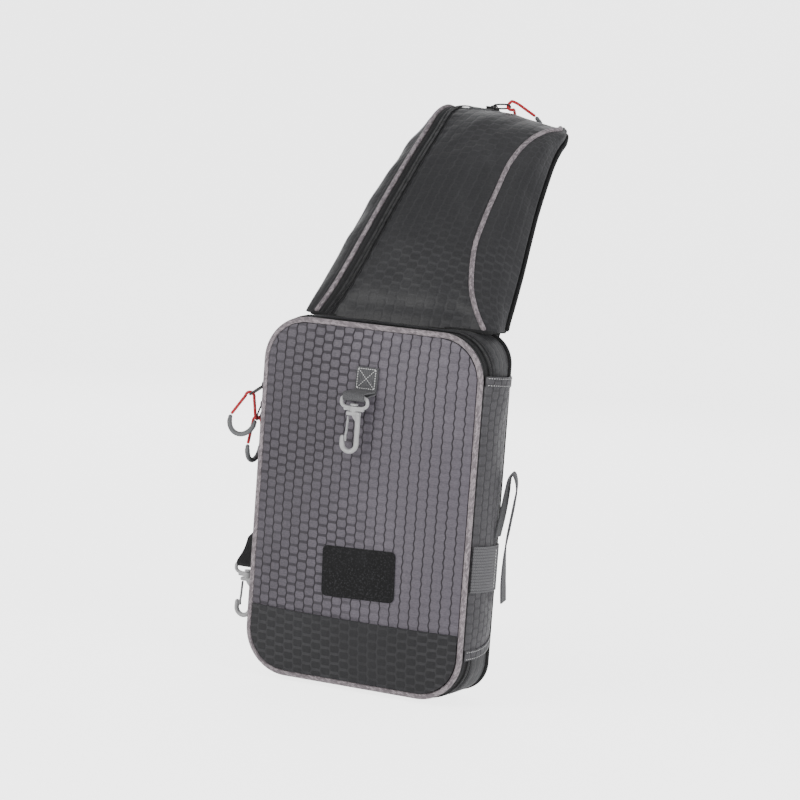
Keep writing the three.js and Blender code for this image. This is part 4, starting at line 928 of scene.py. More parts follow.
def make_patch():
    wide, high, corner = PATCH_W, PATCH_H, 4.5
    turn_x, turn_z = math.cos(PATCH_TURN), math.sin(PATCH_TURN)

    def at(s, t):
        # The two outermost rings of the grid are the plate's rounded edge.
        a, b = 2 * s - 1, 2 * t - 1
        ring = np.maximum(np.abs(a), np.abs(b))
        grown = np.minimum(ring / 0.94, 1.0)
        scale = np.where(ring > 0, grown / np.maximum(ring, 1e-9), 0)
        px, pz = a * scale * wide / 2, b * scale * high / 2
        over_x, over_z = np.abs(px) - (wide / 2 - corner), np.abs(pz) - (high / 2 - corner)
        both = (over_x > 0) & (over_z > 0)
        far = np.hypot(over_x, over_z)
        fit = np.where(both & (far > 0), np.maximum(over_x, over_z) / np.maximum(far, 1e-9), 1.0)
        px = np.where(both, np.sign(px) * (wide / 2 - corner + over_x * fit), px)
        pz = np.where(both, np.sign(pz) * (high / 2 - corner + over_z * fit), pz)
        drop = eased(ring, 0.90, 1.0)
        lift = lerp(2.35, 0.35, np.where(ring > 0.94, (ring - 0.94) / 0.06, 0)) - 0.5 * drop * (ring <= 0.94)
        x = PATCH_X + px * turn_x - pz * turn_z
        z = PATCH_Z + px * turn_z + pz * turn_x
        lip = 0.16 * np.exp(-((1 - grown) * high / 2 - 2.6) ** 2 / 0.4)
        return np.stack([x, front_face(x, z) - lift + lip, z], 1)

    plate = smooth(laid("patch_plate", 100, 100, at, lambda s, t: (s * wide, t * high)), 60)
    dressed(plate, PATCH_RUBBER, "front_patch", "front_patch")


def joined(name, parts, voxel, rounds=4):
    """Overlapping parts melted into one moulded piece."""
    only(*parts)
    bpy.ops.object.join()
    obj = called(name)
    applied(obj, "REMESH", mode="VOXEL", voxel_size=voxel / 1000.0, use_smooth_shade=True)
    applied(obj, "SMOOTH", factor=0.5, iterations=rounds)
    return smooth(obj)


def rounded_loop(count, middle, first, second, powers):
    """Points of a closed loop. first and second are its half axes; low powers square its corners."""
    points = []
    for k in range(count):
        a = 2 * math.pi * k / count
        c, s = (math.copysign(abs(v) ** power, v) for v, power in zip((math.cos(a), math.sin(a)), powers))
        points.append(np.asarray(middle) + np.asarray(first) * c + np.asarray(second) * s)
    return points


def bar(at, size, turn=(0, 0, 0)):
    """A cube primitive of that size with rounded edges, turned in degrees."""
    only()
    rotation = [math.radians(a) for a in turn]
    bpy.ops.mesh.primitive_cube_add(size=1, location=Vector(framed(at)), rotation=rotation)
    obj = bpy.context.object
    obj.scale = [v / 1000.0 for v in size]
    bpy.ops.object.transform_apply(location=True, rotation=True, scale=True)
    return applied(obj, "BEVEL", width=min(size) * 0.28 / 1000.0, segments=3)


def pin(at, radius, height):
    only()
    bpy.ops.mesh.primitive_cylinder_add(vertices=28, radius=radius / 1000, depth=height / 1000,
                                        location=Vector(framed(at)))
    bpy.ops.object.transform_apply(location=True, rotation=True, scale=True)
    return bpy.context.object


def snap_hook(prefix, at, body):
    """A moulded swivel hook with its ring: the ring's upper bar is at the given place."""
    x, y, z = at
    half, low, top = 14.0, -12.9, 1.5
    loop = rounded_loop(40, (x, y, z + (low + top) / 2 + 0.75), (half - 1.6, 0, 0), (0, 0, 5.2), (0.62, 0.75))
    ring = rod(prefix + "_loop", loop, 1.62, 16, 160, closed=True, caps=False, side=(0, 1, 0))
    boss = pin((x, y, z + low + 2.25), 3.7, 4.4)
    foot = bar((x, y, z + low + 2.3), (19.0, 3.3, 4.3))
    ring = joined(prefix + "_swivel_ring", [ring, boss, foot], 0.34)
    dressed(ring, GREY_PLASTIC, "grey_plastic", prefix + "_ring")

    leg, bend_x, hook_top, turn_r = 4.3, -2.5, -13.2, 6.8
    bend_z = hook_top - 28
    route = [(leg, hook_top - 1.2), (leg, hook_top - 8), (leg, bend_z + 8), (leg, bend_z)]
    route += [(bend_x + turn_r * math.cos(a), bend_z - turn_r * math.sin(a))
              for a in np.linspace(0.25, math.pi - 0.25, 9)]
    route += [(bend_x - turn_r, bend_z), (bend_x - turn_r, bend_z + 4), (bend_x - 6.3, bend_z + 7.0)]
    hook = rod(prefix + "_bow", [(x + a, y, z + b) for a, b in route],
               lambda s: 2.3 - 0.35 * max(0, s - 0.86) / 0.14, 16, 150, flatten=(1.08, 0.94), side=(0, 1, 0))
    head = bar((x - 0.1, y, z + hook_top - 1.75), (12.9, 4.9, 3.4))
    collar = pin((x, y, z + hook_top - 0.2), 2.9, 1.6)
    shank = pin((x, y, z + hook_top + 2.8), 1.78, 6.2)
    button = pin((x, y, z + low + 5.75), 3.4, 1.7)
    web = bar((x + 1.9, y, z + hook_top - 4.6), (4.4, 2.6, 5.0), (0, -40, 0))
    hook = joined(prefix + "_hook_body", [hook, head, collar, shank, button, web], 0.34)
    dressed(hook, GREY_PLASTIC, "grey_plastic", prefix + "_hook", body=body)

    route = [(-5.0, hook_top - 3.9), (-5.2, hook_top - 9), (-5.7, hook_top - 18), (-6.2, bend_z + 6.5),
             (-6.0, bend_z + 1.6)]
    gate = rod(prefix + "_spring_gate", [(x + a, y, z + b) for a, b in route], 1.0, 12, 60,
               flatten=(1.9, 0.62), side=(0, 1, 0))
    dressed(gate, GREY_PLASTIC, "grey_plastic", prefix + "_gate", body=body)


def ribbon(name, path, across, wide, thick, count, material, slot, node, columns=14):
    """Webbing of a width along a path. across and wide may be one value or one for each point."""
    even, length = curve_through(path, count)
    shares = np.linspace(0, 1, len(path))
    fine = np.linspace(0, 1, count)
    wide = np.broadcast_to(np.asarray(wide, dtype=float), (len(path),))
    half = np.interp(fine, shares, wide) / 2
    sides = np.broadcast_to(np.asarray(across, dtype=float), (len(path), 3))
    sides = np.stack([np.interp(fine, shares, sides[:, k]) for k in range(3)], 1)

    def at(s, t):
        k = np.clip(np.rint(t * (count - 1)).astype(int), 0, count - 1)
        return even[k] + sides[k] * (half[k] * (2 * s - 1))[:, None]

    obj = laid(name, columns, count - 1, at, lambda s, t: ((2 * s - 1) * wide.max() / 2, t * length))
    applied(obj, "SOLIDIFY", thickness=thick / 1000.0, offset=0.0)
    return dressed(smooth(obj, 55), material, slot, node)


def box_and_cross(left, right, low, high, count, place, outward):
    """Runs for stitches along the sides and the diagonals of a box, through place(x, z)."""
    corners = [(left, low), (right, low), (right, high), (left, high)]
    runs = []
    for a, b in ((0, 1), (1, 2), (2, 3), (3, 0), (0, 2), (1, 3)):
        (xa, za), (xb, zb) = corners[a], corners[b]
        runs.append(([place(lerp(xa, xb, f), lerp(za, zb, f)) for f in np.linspace(0, 1, count)], outward))
    return runs


TAB_ROUTE = [
    (0.30, -69.21, 280.00), (0.30, -70.10, 270.00), (-0.20, -70.78, 260.00), (-2.20, -74.80, 258.60),
    (-4.70, -82.05, 257.92), (-4.70, -83.46, 256.33), (-4.70, -83.64, 254.22), (-4.70, -82.53, 252.42),
    (-4.70, -80.56, 251.64), (-4.70, -78.52, 252.19), (-4.70, -77.20, 253.85), (-2.20, -72.33, 256.10),
    (-0.20, -68.88, 258.40), (0.30, -68.20, 270.00), (0.30, -67.31, 280.00)]
SIDE_TAB = [
    (-36.95, 126.00, -107.18, -105.18), (-36.95, 110.72, -117.59, -105.18), (-36.95, 98.50, -126.28, -105.18),
    (-38.92, 89.48, -130.0, -110.0), (-39.32, 87.22, -130.0, -110.0), (-38.16, 85.22, -130.0, -110.0),
    (-36.00, 84.43, -130.0, -110.0), (-33.84, 85.22, -130.0, -110.0), (-32.68, 87.22, -130.0, -110.0),
    (-33.08, 89.48, -130.0, -110.0), (-35.05, 98.50, -126.28, -105.18), (-35.05, 110.72, -117.59, -105.18),
    (-35.05, 126.00, -107.18, -105.18)]


def make_tabs():
    ribbon("front_tab_webbing", TAB_ROUTE, (1, 0, 0), 20.0, WEB_T, 150, GREY_WEBBING, "grey_webbing",
           "front_tab")
    middle, top_y, top_z = TAB_ROUTE[0]

    def tab_face(x, z):
        return x, top_y - 0.9 - 0.085 * (top_z - z), z

    runs = box_and_cross(middle - 8.4, middle + 8.4, 261.6, 278.6, 8, tab_face, (0, -1, 0.06))
    stitches("front_tab_stitches", runs, LIGHT_THREAD, "grey_webbing", pitch=2.0, long=1.75, wide=0.8)

    path = [((left + right) / 2, y, z) for y, z, left, right in SIDE_TAB]
    wide = [right - left for _, _, left, right in SIDE_TAB]
    ribbon("side_tab_webbing", path, (1, 0, 0), wide, WEB_T, 140, BLACK_WEBBING, "grey_webbing", "side_tab")
    runs = []
    for y, out in ((-37.85, -1), (-34.15, 1)):
        runs.append(([(-109.5 - 1.2 * k, y, 118 - 2.7 * k) for k in range(7)], (0, out, 0)))
        runs.append(([(-108.0, y, 112 - 2.7 * k) for k in range(6)], (0, out, 0)))
    stitches("side_tab_stitches", runs, LIGHT_THREAD, "grey_webbing", pitch=2.4, long=1.8, wide=0.5)


# Side pocket, band and utility strap

POCKET_FRONT, POCKET_BACK = -56.6, -2.8
POCKET_TOP, POCKET_BOTTOM, HEM_H, BAND_Z = 283.0, 36.0, 9.0, 116.0


def pocket_lift(y, z):
    share = np.clip((y - POCKET_FRONT) / (POCKET_BACK - POCKET_FRONT), 0, 1)
    gape = eased(z, POCKET_TOP - 45, POCKET_TOP)
    shut = eased(z, POCKET_BOTTOM, POCKET_BOTTOM + 40)
    stand = lerp(4.2, 7.5, gape) * lerp(0.55, 1.0, shut)
    return 0.3 + stand * np.sin(math.pi * share) ** 0.75


def pocket_skin(share, z, lift):
    """A point on the pocket's outer face, with its drawn-in folds above and below the band."""
    share, z = np.asarray(share, dtype=float), np.asarray(z, dtype=float)
    y = lerp(POCKET_FRONT, POCKET_BACK, share)
    x = BAG_W / 2 + puff_at(y) + pocket_lift(y, z) + lift
    free = np.sin(math.pi * share) * eased(z, 48, 62) * eased(POCKET_TOP - 10 - z, 0, 12)
    folds = np.exp(-(np.abs(z - BAND_Z + 1) - 20.0).clip(0) / 14.0) * np.sin(share * math.pi * 6.0) * 0.35
    soft = ripple(on_plane(y, z * 0.6), 33.0, 5) * 0.55
    return np.stack([x + free * (soft + folds), y, z], 1)


def pocket_piece(name, low, high, rows, lift, thick, node):
    def at(s, t):
        return pocket_skin(s, lerp(low(s), high(s), t), lift)

    def flat(s, t):
        return s * 62.0, lerp(low(s), high(s), t)

    return dressed(cloth_sheet(name, 40, rows, at, flat, thick), POCKET_CLOTH, "grey_cloth", node)


def hem_top(share):
    return POCKET_TOP - 3 * share


def hem_foot(share):
    return POCKET_BOTTOM + 8 * share ** 3


def make_pocket():
    pocket_piece("pocket_cloth", lambda s: hem_foot(s) + HEM_H - 1, lambda s: hem_top(s) - HEM_H + 1, 150,
                 1.5, 1.3, "side_pocket")
    pocket_piece("pocket_hem_cloth", lambda s: hem_top(s) - HEM_H, hem_top, 10, 2.3, 2.2, "pocket_hem")
    pocket_piece("pocket_foot_cloth", hem_foot, lambda s: hem_foot(s) + HEM_H, 10, 2.3, 2.0, "pocket_foot")
    shares = np.linspace(0.03, 0.97, 40)
    runs = []
    for edge, drop in ((hem_top, -1.5), (hem_top, -7.6), (hem_foot, 1.4), (hem_foot, 7.4)):
        z = edge(shares) + drop
        runs.append((pocket_skin(shares, z, 2.42), (1, 0, 0)))
    stitches("pocket_stitches", runs, LIGHT_THREAD, "grey_cloth", pitch=2.7, long=2.1, wide=0.55)

    shares = np.linspace(0, 1, 15)
    z = BAND_Z - 3 * shares
    path = pocket_skin(shares, z, 0)
    y = path[:, 1]
    path[:, 0] = BAG_W / 2 + puff_at(y) + pocket_lift(y, np.full_like(y, BAND_Z)) + 2.95
    ribbon("side_band_webbing", path, (0, 0, 1), 40.0, WEB_T, 80, BAND_WEBBING, "grey_webbing",
           "side_band", 30)
    x, y, z = path[9]
    run = [(x + 0.95, y, z + up) for up in np.linspace(-17, 17, 12)]
    stitches("side_band_stitches", [(run, (1, 0, 0))], LIGHT_THREAD, "grey_webbing",
             pitch=2.5, long=2.1, wide=0.7)

    route = [
        (8.6, 0, 81, 12, 1), (7.8, 0, 92, 12, 1), (7.2, 0, 102, 14, 1), (7.0, 0, 128, 18, 1),
        (9.5, 0, 150, 22, 1), (12, 0, 170, 24, 1), (13, 0, 182, 24, 1), (11.4, 0, 191, 24, 1),
        (8.6, 0, 195, 22, 1), (6.4, 1, 190, 18, 1), (6.0, 3, 180, 14, 0.95), (6.2, 7, 168, 8, 0.85),
        (6.6, 12, 157, 4, 0.75), (7.0, 17, 148, 0, 0.65), (7.0, 20, 141, 0, 0.6)]
    path, across, wide = [], [], []
    for out, forward, z, turn, share in route:
        y = -1 + 0.41 * out - forward
        pocket = float(puff_at(y)) + float(pocket_lift(np.array(y), np.array(z)))
        clear = BAG_W / 2 + pocket + 2.85
        path.append((max(105.0 + 0.91 * out, clear if forward > 15 else 0), y, z))
        across.append((-math.sin(math.radians(turn)), math.cos(math.radians(turn)), 0))
        wide.append(20.0 * share)
    ribbon("utility_webbing", path, across, wide, WEB_T, 150, GREY_WEBBING, "grey_webbing",
           "utility_strap", 16)


# Zip pulls

SIDE_OUT, ALONG_UP = (-1, 0, 0), (0, 0, 1)
PULLS = {
    "upper": dict(
        at=(-104.25, -45.20, 250.0), out=SIDE_OUT, along=ALONG_UP, pivot=(-111.70, -45.20, 250.0),
        down=(-0.79, -0.10, -0.61), across=(-0.08, 1.0, -0.06),
        cord=[(-138.37, -53.69, 221.76), (-135.0, -51.43, 227.7), (-131.15, -48.85, 234.48),
              (-128.74, -47.24, 238.71), (-128.23, -47.10, 240.34), (-127.13, -46.93, 241.65),
              (-125.61, -46.77, 242.43), (-123.9, -46.62, 242.57), (-122.27, -46.53, 242.05),
              (-120.96, -46.49, 240.94), (-120.17, -46.52, 239.42), (-120.02, -46.61, 237.71),
              (-118.39, -48.38, 233.16), (-115.76, -51.21, 225.89), (-113.47, -53.69, 219.52)],
        grip=[(-138.38, -53.75, 221.6), (-138.56, -54.44, 219.6), (-138.44, -55.59, 216.27),
              (-137.47, -56.67, 213.1), (-135.73, -57.59, 210.29), (-133.33, -58.29, 208.04),
              (-130.44, -58.74, 206.51), (-127.26, -58.89, 205.78), (-124.0, -58.74, 205.93),
              (-120.88, -58.29, 206.92), (-118.12, -57.59, 208.71), (-115.9, -56.67, 211.16),
              (-114.39, -55.59, 214.11), (-113.67, -54.44, 217.36), (-113.5, -53.8, 219.3)]),
    "lower": dict(
        at=(-104.25, -45.20, 233.0), out=SIDE_OUT, along=ALONG_UP, pivot=(-111.70, -45.20, 233.0),
        down=(-0.37, 0.15, -0.92), across=(0.06, 0.99, 0.14),
        cord=[(-118.75, -55.26, 197.54), (-119.89, -50.7, 204.21), (-121.19, -45.48, 211.83),
              (-122.0, -42.22, 216.6), (-121.58, -42.48, 218.24), (-120.55, -42.74, 219.59),
              (-119.08, -42.95, 220.45), (-117.38, -43.08, 220.68), (-115.72, -43.11, 220.25),
              (-114.35, -43.05, 219.22), (-113.47, -42.88, 217.75), (-113.22, -42.65, 216.07),
              (-114.61, -39.55, 211.44), (-116.82, -34.6, 204.03), (-118.75, -30.26, 197.54)],
        grip=[(-118.76, -55.26, 197.4), (-118.89, -55.26, 195.25), (-119.1, -54.83, 191.76),
              (-119.3, -53.58, 188.51), (-119.46, -51.6, 185.72), (-119.59, -49.01, 183.58),
              (-119.67, -45.99, 182.23), (-119.7, -42.76, 181.77), (-119.67, -39.52, 182.23),
              (-119.59, -36.51, 183.58), (-119.46, -33.92, 185.72), (-119.3, -31.93, 188.51),
              (-119.1, -30.68, 191.76), (-118.89, -30.26, 195.25), (-118.76, -30.26, 197.4)]),
    "strap": dict(
        at=(-13.5, 168.25, 484.14), out=(0, 0.6, 0.8), along=(1, 0, 0), pivot=(-13.5, 172.71, 490.11),
        down=(0.99, 0.06, 0.08), across=(0.0, 0.8, -0.6), settles=True,
        cord=[(23.73, 184.75, 487.96), (16.41, 181.9, 490.54), (8.05, 178.65, 493.49),
              (2.83, 176.61, 495.34), (1.35, 176.09, 494.63), (0.32, 175.27, 493.53),
              (-0.1, 174.27, 492.2), (0.14, 173.25, 490.84), (1.02, 172.37, 489.66),
              (2.39, 171.75, 488.83), (4.05, 171.5, 488.49), (5.75, 171.65, 488.69),
              (4.94, 177.57, 486.53), (3.64, 187.04, 483.08), (2.5, 195.33, 480.07)],
        grip=[(23.8, 184.85, 487.9), (24.92, 186.54, 487.15), (26.38, 189.44, 485.78),
              (27.01, 192.51, 484.24), (26.77, 195.52, 482.62), (25.68, 198.29, 481.05),
              (23.82, 200.61, 479.62), (21.31, 202.34, 478.44), (18.33, 203.35, 477.58),
              (15.07, 203.58, 477.1), (11.76, 203.0, 477.04), (8.62, 201.66, 477.4),
              (5.87, 199.66, 478.15), (3.69, 197.12, 479.25), (2.6, 195.5, 480.0)]),
}


STRAP_PULL_UP, STRAP_PULL_RIGHT = 0.86, 8.0  # a share of the strap's own lift, and millimetres


def settled(points):
    """Points on the strap's top, moved as its cloth is there."""
    points = np.atleast_2d(np.array(points, dtype=float))
    share = points[:, 1] / LEAN
    points[:, 2] += STRAP_PULL_UP * np.interp(share, ROWS[:, 1], SET_UP)
    points[:, 0] += STRAP_PULL_RIGHT
    return points[0] if len(points) == 1 else points


def zip_pull(suffix, at, out, along, pivot, down, across, cord, grip, settles=False):
    move = settled if settles else np.array
    at, pivot, cord, grip = (move(points) for points in (at, pivot, cord, grip))
    out, along = unit(out), unit(along)
    width = np.cross(out, along)
    base = 1.7

    def block(size, lift, ahead=0.0, aside=0.0):
        only()
        bpy.ops.mesh.primitive_cube_add(size=1)
        obj = bpy.context.object
        x, y, z = size
        obj.matrix_world = Matrix(posed(width * x / 1000, out * y / 1000, along * z / 1000,
                                        at + out * lift + along * ahead + width * aside).tolist())
        bpy.ops.object.transform_apply(location=True, rotation=True, scale=True)
        return applied(obj, "BEVEL", width=min(size) * 0.25 / 1000, segments=2)

    parts = [block((9.0, 1.5, 9.0), base + 0.75, -2.0), block((5.6, 1.5, 12.6), base + 0.75, 0.0),
             block((9.0, 1.3, 8.4), base + 3.4, -2.2), block((5.6, 1.3, 12.2), base + 3.4, 0.0),
             block((2.6, 3.6, 3.0), base + 2.1, 4.4)]
    arch = [at + out * (base + lift) + along * ahead for lift, ahead in (
        (3.8, -3.4), (5.6, -3.3), (7.2, -2.3), (7.6, 0.0), (7.2, 2.3), (5.6, 3.3), (3.8, 3.4))]
    parts.append(rod("slider_arch", arch, 0.85, 10, 40, flatten=(1.3, 0.8), side=width))
    slider = joined("slider_body_" + suffix, parts, 0.3, 2)
    dressed(slider, METAL, "slider_metal", "slider_" + suffix)

    down, across = unit(down), unit(across)
    loop = rounded_loop(28, pivot + down * 7.9, down * 7.9, across * 3.25, (0.8, 0.62))
    ring = rod("pull_ring_" + suffix, loop, 0.82, 12, 110, closed=True, caps=False)
    dressed(ring, BLACK_PLASTIC, "black_plastic", "pull_" + suffix)

    swell = lambda s: 2.3 if 0.10 < s < 0.90 else (1.55 if s < 0.025 or s > 0.975 else 1.95)
    grip_piece = rod("grip_mould_" + suffix, grip, swell, 16, 130)
    applied(grip_piece, "SMOOTH", factor=0.5, iterations=2)
    dressed(grip_piece, GRIP_RUBBER, "grip_rubber", "grip_" + suffix)

    route, length = curve_through(cord, 90)
    cord_piece = rod("pull_cord_" + suffix, route, 1.4, 12, 110)
    dressed(cord_piece, RED_CORD, "red_cord", "cord_" + suffix)
    tuple(framed(route[0]))
    [tuple(p) for p in framed(route)]


# Shoulder strap with its pouch

PAD_W, PAD_T, RISE, LEAN, POUCH_T, POUCH_CROWN = 192.0, 5.0, 157.0, 178.0, 35.5, 5.0
STRAP_PIPING_D, STRAP_ZIP_W, STRAP_ZIP_END = 4.6, 19.0, -7.0
# Rise, lean, pad's half width, face's half width, edge's height over the pad, tilt, move to the left
ROWS = np.array([
    (0, 0.017, 1, 0.8, 0.79, 0, 0), (0.057, 0.06, 0.984, 0.7, 0.845, 20, 0),
    (0.14, 0.121, 0.969, 0.635, 0.9, 33, 0), (0.3, 0.242, 0.932, 0.568, 1, 39, 0),
    (0.459, 0.357, 0.891, 0.542, 0.944, 41, 0),
    (0.618, 0.477, 0.849, 0.526, 0.845, 44, 0), (0.777, 0.613, 0.807, 0.516, 0.8, 48, 0),
    (0.904, 0.742, 0.76, 0.542, 0.68, 54, 0), (0.981, 0.843, 0.724, 0.6, 0.53, 67, 0),
    (1, 0.927, 0.688, 0.62, 0.33, 86, 0), (0.962, 1, 0.625, 0.56, 0.15, 110, 0),
    (0.9, 1.056, 0.5, 0, 0, 130, 0), (0.78, 1.118, 0.37, 0, 0, 150, 0.01),
    (0.62, 1.163, 0.275, 0, 0, 161, 0.03), (0.39, 1.2, 0.215, 0, 0, 169, 0.08)])
# How the strap's bend sits: each row's lift and move to the right in mm, and the share of the lift
# that its right edge loses.
SET_UP = np.array([0, 0, 0, 0, 0, 0, 0, 2.5, 10, 19, 22, 13, 5, 0, 0.0])
SET_RIGHT = np.array([0, 0, 0, 0, 0, 0, 1, 3.5, 8, 13, 14, 8, 3, 0, 0.0])
SET_TURN = np.array([0.9, 0.9, 0.9, 0.9, 0.9, 0.9, 0.9, 0.9, 0.9, 0.7, 0.15, 0, 0, 0, 0])
# How far the right piping spreads at the strap's foot, in mm.
FLARE = np.array([11.5, 6.7, 2.0, 0, 0, 0, 0, 0, 0, 0, 0, 0, 0, 0, 0.0])
POUCH_END, STRAP_END = 10, len(ROWS) - 1
STRAP_FOOT = BAG_H + PUFF + 0.5


def strap_read(place, column, last=STRAP_END):
    low = np.clip(np.floor(place), 0, last - 1).astype(int)
    values = ROWS[:, column] if isinstance(column, int) else column
    a, b, c, d = (values[np.clip(low + k, 0, last)] for k in (-1, 0, 1, 2))
    return between_rows(np.minimum(1.0, place - low), a, b, c, d)


def section(place):
    place = np.atleast_1d(np.asarray(place, dtype=float))
    tilt = np.radians(strap_read(place, 5))
    x = strap_read(place, SET_RIGHT) - strap_read(place, 6) * BAG_W / 2
    middle = np.stack([x, strap_read(place, 1) * LEAN, STRAP_FOOT + strap_read(place, 0) * RISE], 1)
    out = np.stack([0 * tilt, -np.cos(tilt), np.sin(tilt)], 1)
    pad = strap_read(place, 2) * PAD_W / 2
    face = strap_read(place, 3, POUCH_END) * PAD_W / 2
    thick = strap_read(place, 4, POUCH_END) * POUCH_T
    return middle, out, pad, face, thick


def over_pad(x, place, lift):
    middle, out, pad, _, _ = section(place)
    points = middle + out * np.atleast_1d(lift)[:, None]
    points[:, 0] += x
    place = np.atleast_1d(np.asarray(place, dtype=float))
    share = (np.clip(x / (0.8 * pad), -1, 1) + 1) / 2
    points[:, 0] -= 0.6 * strap_read(place, SET_RIGHT) * share
    points[:, 2] += strap_read(place, SET_UP) * (1 - strap_read(place, SET_TURN) * share ** 1.8)
    return points


def on_face(x, place, lift):
    _, _, _, face, thick = section(place)
    share = np.clip(np.abs(x) / face, 0, 1)
    crown = POUCH_CROWN * (1 - share * share) * np.clip((thick - 4) / 20, 0, 1)
    return over_pad(x, place, thick + crown + lift)


ALONG = np.linspace(0, STRAP_END, 400)
RUN_STEPS = np.diff(over_pad(0 * ALONG, ALONG, 20.0 + 0 * ALONG), axis=0)
RUN = np.concatenate([[0], np.cumsum(np.linalg.norm(RUN_STEPS, axis=1))])
TURN_PLACE, TOP_PLACE = POUCH_END * 0.8, POUCH_END - 1.15
PIPING_ROOM = STRAP_PIPING_D / 2 + 0.3 + 0.5


def run_at(place):
    return np.interp(place, ALONG, RUN)


def face_left(place):
    side = -section(np.minimum(place, POUCH_END))[3] + STRAP_ZIP_W
    share = np.clip((place - TURN_PLACE) / (TOP_PLACE - TURN_PLACE), 0, 1)
    return lerp(side, STRAP_ZIP_END, 1 - np.sqrt(1 - share * share))


def face_right(place):
    place = np.atleast_1d(np.asarray(place, dtype=float))
    return section(place)[3] + strap_read(place, FLARE)


def piping_lift(thick):
    return np.maximum(thick, PAD_T / 2 + STRAP_PIPING_D / 2 + 1.6)


def make_strap_face():
    def at(s, t):
        place = POUCH_END * t
        run = run_at(place)
        left, right = face_left(place) + 0.1, face_right(place) - PIPING_ROOM + 0.9
        x = lerp(left, right, s)
        inside = np.minimum(s, 1 - s) * (right - left)
        soft = ripple(on_plane(x * 0.8, run), 44.0, 31)
        small = ripple(on_plane(x, run * 0.8), 17.0, 32)
        puckers = np.sin(run * 2 * math.pi / 12.5 + 1.7 * np.sin(run / 19)) * np.exp(-inside / 5.0)
        fold = np.exp(-((run - 13.0 - 0.02 * x) / 6.0) ** 2) * 1.4
        free = eased(inside, 0.5, 16)
        swell = 0.8 * soft + 0.28 * small * eased(run, 0, 60)
        return on_face(x, place, 0.6 + free * swell - 0.3 * puckers - fold * free)

    def flat(s, t):
        place = POUCH_END * t
        return lerp(face_left(place), face_right(place) - PIPING_ROOM, s), run_at(place)

    obj = cloth_sheet("strap_face_cloth", 90, 190, at, flat)
    dressed(obj, BLACK_CLOTH, "black_cloth", "strap_face")
    t = np.linspace(0.02, 0.78, 120) * POUCH_END
    edge = on_face(face_left(t) + 1.9, t, 0.75)
    stitches("strap_face_stitches", [(edge, section(t)[1])], DARK_THREAD, "black_cloth", wide=0.42)


def zip_route(count):
    """Outer and inner edge of the strap's zip as (x, place) pairs, up the left side and across."""
    rows = []
    for place in np.linspace(0, TURN_PLACE, count):
        face = section(place)[3][0]
        rows.append((-face + PIPING_ROOM, place, face_left(np.array([place]))[0] - 0.3, place))
    turning = count // 2
    for i in range(1, turning + 1):
        share = i / turning
        place = lerp(TURN_PLACE, TOP_PLACE, math.sin(share * math.pi / 2))
        rise = lerp(TURN_PLACE, POUCH_END, min(1.0, share * 1.8))
        left = -section(rise)[3][0] + PIPING_ROOM
        outer = lerp(left, STRAP_ZIP_END, max(0.0, (share - 0.55) / 0.45))
        rows.append((outer, rise, face_left(np.array([place]))[0] - 0.3, place))
    return np.array(rows)


def make_strap_zip():
    rows = zip_route(90)

    def edge_at(share_across, t):
        k = t * (len(rows) - 1)
        a = np.stack([np.interp(k, np.arange(len(rows)), rows[:, c]) for c in range(4)], 1)
        return lerp(a[:, 0], a[:, 2], share_across), lerp(a[:, 1], a[:, 3], share_across)

    def profile(s):
        ridge = 0.35 * np.exp(-((s - 0.30) / 0.05) ** 2)
        return ridge + 0.45 * (s < 0.26) + 0.45 * eased(s, 0.90, 0.97) - 0.15

    def at(s, t):
        x, place = edge_at(s, t)
        return on_face(x, place, profile(s) + 0.15 * ripple(on_plane(x, 8 * place), 15.0, 44))

    obj = cloth_sheet("strap_zip_cloth", 44, 200, at, lambda s, t: (s * 15.0, t * 280.0), 0.8)
    dressed(obj, TAPE, "zip_tape", "strap_zip_tape")

    x, place = edge_at(0.66, np.linspace(0.0, 1.0, 400))
    keep = x < STRAP_ZIP_END - 14.5
    path = on_face(x, place, 0.35)[keep]
    out = section(place[keep])[1]
    coil_along("strap_coil", path, out, 2.9, 1.4, "strap_zip_coil")
    runs = []
    for share, lift in ((0.2, 0.42), (0.93, 0.45)):
        x, place = edge_at(share, np.linspace(0.01, 0.92, 200))
        runs.append((on_face(x, place, lift), section(place)[1]))
    stitches("strap_zip_stitches", runs, DARK_THREAD, "zip_tape", wide=0.4)


